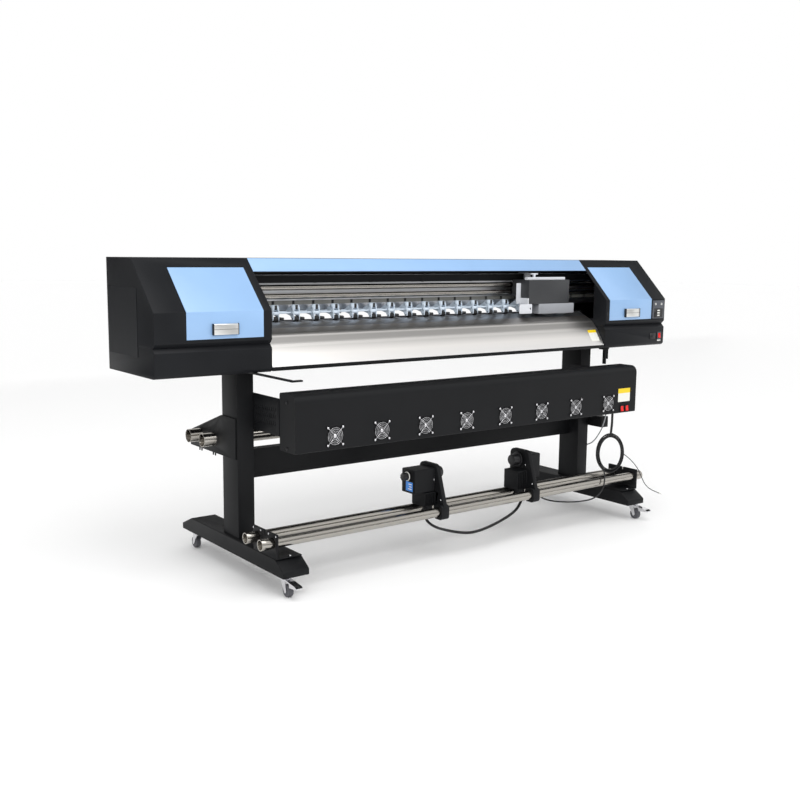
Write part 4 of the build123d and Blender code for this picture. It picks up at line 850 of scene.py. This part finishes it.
# %% [markdown]
# ## Pinch arm details
# Each arm is a clear moulding with a rounded head over its spring, and a black pad beside the roller
# keeps the sheet flat. They lift with the arms, so they ride on the same body.

# %% Arm heads and pads
first_arm = -0.835
arm_spacing = 0.1012
arm_places = [first_arm + arm_spacing * i for i in range(18)]


def arm_heads(shape):
    for x in arm_places:
        puck(shape, (x - 0.0165, 0.033, 1.1015), (1, 0, 0), 0.0125, 0.0330, 0.0020)
        puck(shape, (x - 0.0175, 0.026, 1.0780), (1, 0, 0), 0.0080, 0.0350, 0.0015)


def arm_pads(shape):
    for x in arm_places:
        slab(shape, (x + 0.0172, x + 0.0360), (0.012, 0.046), (1.0490, 1.0610), 0.0020)
        slab(shape, (x - 0.0060, x + 0.0060), (0.0185, 0.0205), (1.0930, 1.1130), 0.0006)


add_piece("arm_heads", mesh_from(arm_heads, "arm_heads"), "pinch_lift", "pale_plastic")
add_piece("arm_pads", mesh_from(arm_pads, "arm_pads"), "pinch_lift", "black_plastic")
print("arms detailed:", len(arm_places))

# %% [markdown]
# ## Apron tone
# The apron is one brushed sheet, but its curve turns from the dark room above to the pale floor below.
# That reflection is painted into the metal's tone by height: darker and warmer at the top, white at the
# bottom, with painted highlight lines in bands along it, so it holds under any light. Long thin streaks
# are the same noise stretched much further along X.

# %% Painted reflection and highlight lines on the apron
apron_tree = finishes["aluminium_plate"].node_tree
apron_place = apron_tree.nodes.new("ShaderNodeTexCoord")
apron_axes = apron_tree.nodes.new("ShaderNodeSeparateXYZ")
apron_tree.links.new(apron_place.outputs["Object"], apron_axes.inputs["Vector"])
height_of = apron_tree.nodes.new("ShaderNodeMapRange")
apron_low, apron_high = 0.878, 1.022
height_of.inputs["From Min"].default_value = apron_low
height_of.inputs["From Max"].default_value = apron_high
apron_tree.links.new(apron_axes.outputs["Z"], height_of.inputs["Value"])
painted_reflection_fade = apron_tree.nodes.new("ShaderNodeValToRGB")
# painted reflection: white at the bottom of the apron, darker and warmer at the top
painted_reflection_fade.color_ramp.elements[0].color = (1.0, 1.0, 1.0, 1)
painted_reflection_fade.color_ramp.elements[1].color = (0.80, 0.77, 0.74, 1)
# painted highlight lines: bright and dark bands at set heights along the apron
bands = ((0.30, 0.98), (0.50, 0.70), (0.58, 0.92), (0.64, 0.60), (0.76, 0.60), (0.80, 0.95), (0.84, 0.62))
for position, value in bands:
    stop = painted_reflection_fade.color_ramp.elements.new(position)
    stop.color = (value, value * 0.985, value * 0.965, 1)
apron_tree.links.new(height_of.outputs["Result"], painted_reflection_fade.inputs["Fac"])
toned = apron_tree.nodes.new("ShaderNodeMix")
toned.data_type = "RGBA"
toned.blend_type = "MULTIPLY"
toned.inputs["Factor"].default_value = 1.0
apron_tree.links.new(apron_tree.nodes["tone"].outputs["Color"], toned.inputs[6])
apron_tree.links.new(painted_reflection_fade.outputs["Color"], toned.inputs[7])
apron_tree.links.new(toned.outputs[2], apron_tree.nodes["Principled BSDF"].inputs["Base Color"])
print("apron fades over", round(apron_high - apron_low, 3), "m of height")

# %% [markdown]
# ## Floor and light
# The machine stands on a plain white floor under soft studio light: one broad panel overhead and to
# the front, one from the left, and a bright even surround that the metal can reflect. Black boards
# stand outside the view. Only reflections see them: they give polished tube its dark bands, and they
# keep black paint black where it is seen at a low angle and would mirror the white surround.

# %% Floor and light
def studio_floor(shape):
    """A wide sheet of floor that reaches past the view."""
    bmesh.ops.create_grid(shape, x_segments=1, y_segments=1, size=40)


floor = bpy.data.objects.new("studio_floor", mesh_from(studio_floor, "studio_floor"))
bpy.context.collection.objects.link(floor)
floor.data.materials.append(finish("studio_floor_paint", (1.0, 1.0, 1.0), (0.6, 0.7), drift=0.0))

world = bpy.data.worlds.new("studio_surround")
world.use_nodes = True
world.node_tree.nodes["Background"].inputs["Color"].default_value = (1, 1, 1, 1)
world.node_tree.nodes["Background"].inputs["Strength"].default_value = 1.0
bpy.context.scene.world = world
bpy.context.scene.view_settings.view_transform = "Standard"


def light_panel(name, place, aim, size, power):
    """A square area lamp that points at a place."""
    lamp = bpy.data.objects.new(name, bpy.data.lights.new(name, "AREA"))
    bpy.context.collection.objects.link(lamp)
    lamp.data.size = size
    lamp.data.energy = power
    lamp.location = place
    lamp.rotation_euler = (Vector(aim) - Vector(place)).to_track_quat("-Z", "Y").to_euler()
    return lamp


def dark_board(name, corners):
    """A black board that only reflections can see, which gives bright metal its dark bands."""
    def build(shape):
        shape.faces.new([shape.verts.new(corner) for corner in corners])
    board = bpy.data.objects.new(name, mesh_from(build, name))
    bpy.context.collection.objects.link(board)
    board.data.materials.append(finish("studio_black_cloth", (0.02, 0.02, 0.02), (0.8, 0.9), drift=0.01))
    board.visible_camera = False
    board.visible_shadow = False
    board.visible_diffuse = False


board_front, board_back = -6, 7
dark_board("low_board", [
    (-9, board_front, 0.2), (9, board_front, 0.2), (9, board_front, 1.5), (-9, board_front, 1.5)])
dark_board("high_board", [(-9, -0.4, 4.6), (9, -0.4, 4.6), (9, 2.0, 4.6), (-9, 2.0, 4.6)])
dark_board("left_board", [(-4.6, 0.8, 0), (-4.6, 7, 0), (-4.6, 7, 2.6), (-4.6, 0.8, 2.6)])
dark_board("back_board", [
    (-4, board_back, 0.3), (12, board_back, 0.3), (12, board_back, 3.2), (-4, board_back, 3.2)])
light_panel("overhead_panel", (-0.8, -2.2, 4.0), (0, 0, 0.8), 3.0, 70)
light_panel("left_panel", (-4.5, -2.5, 2.2), (-0.8, 0, 0.9), 2.0, 12)
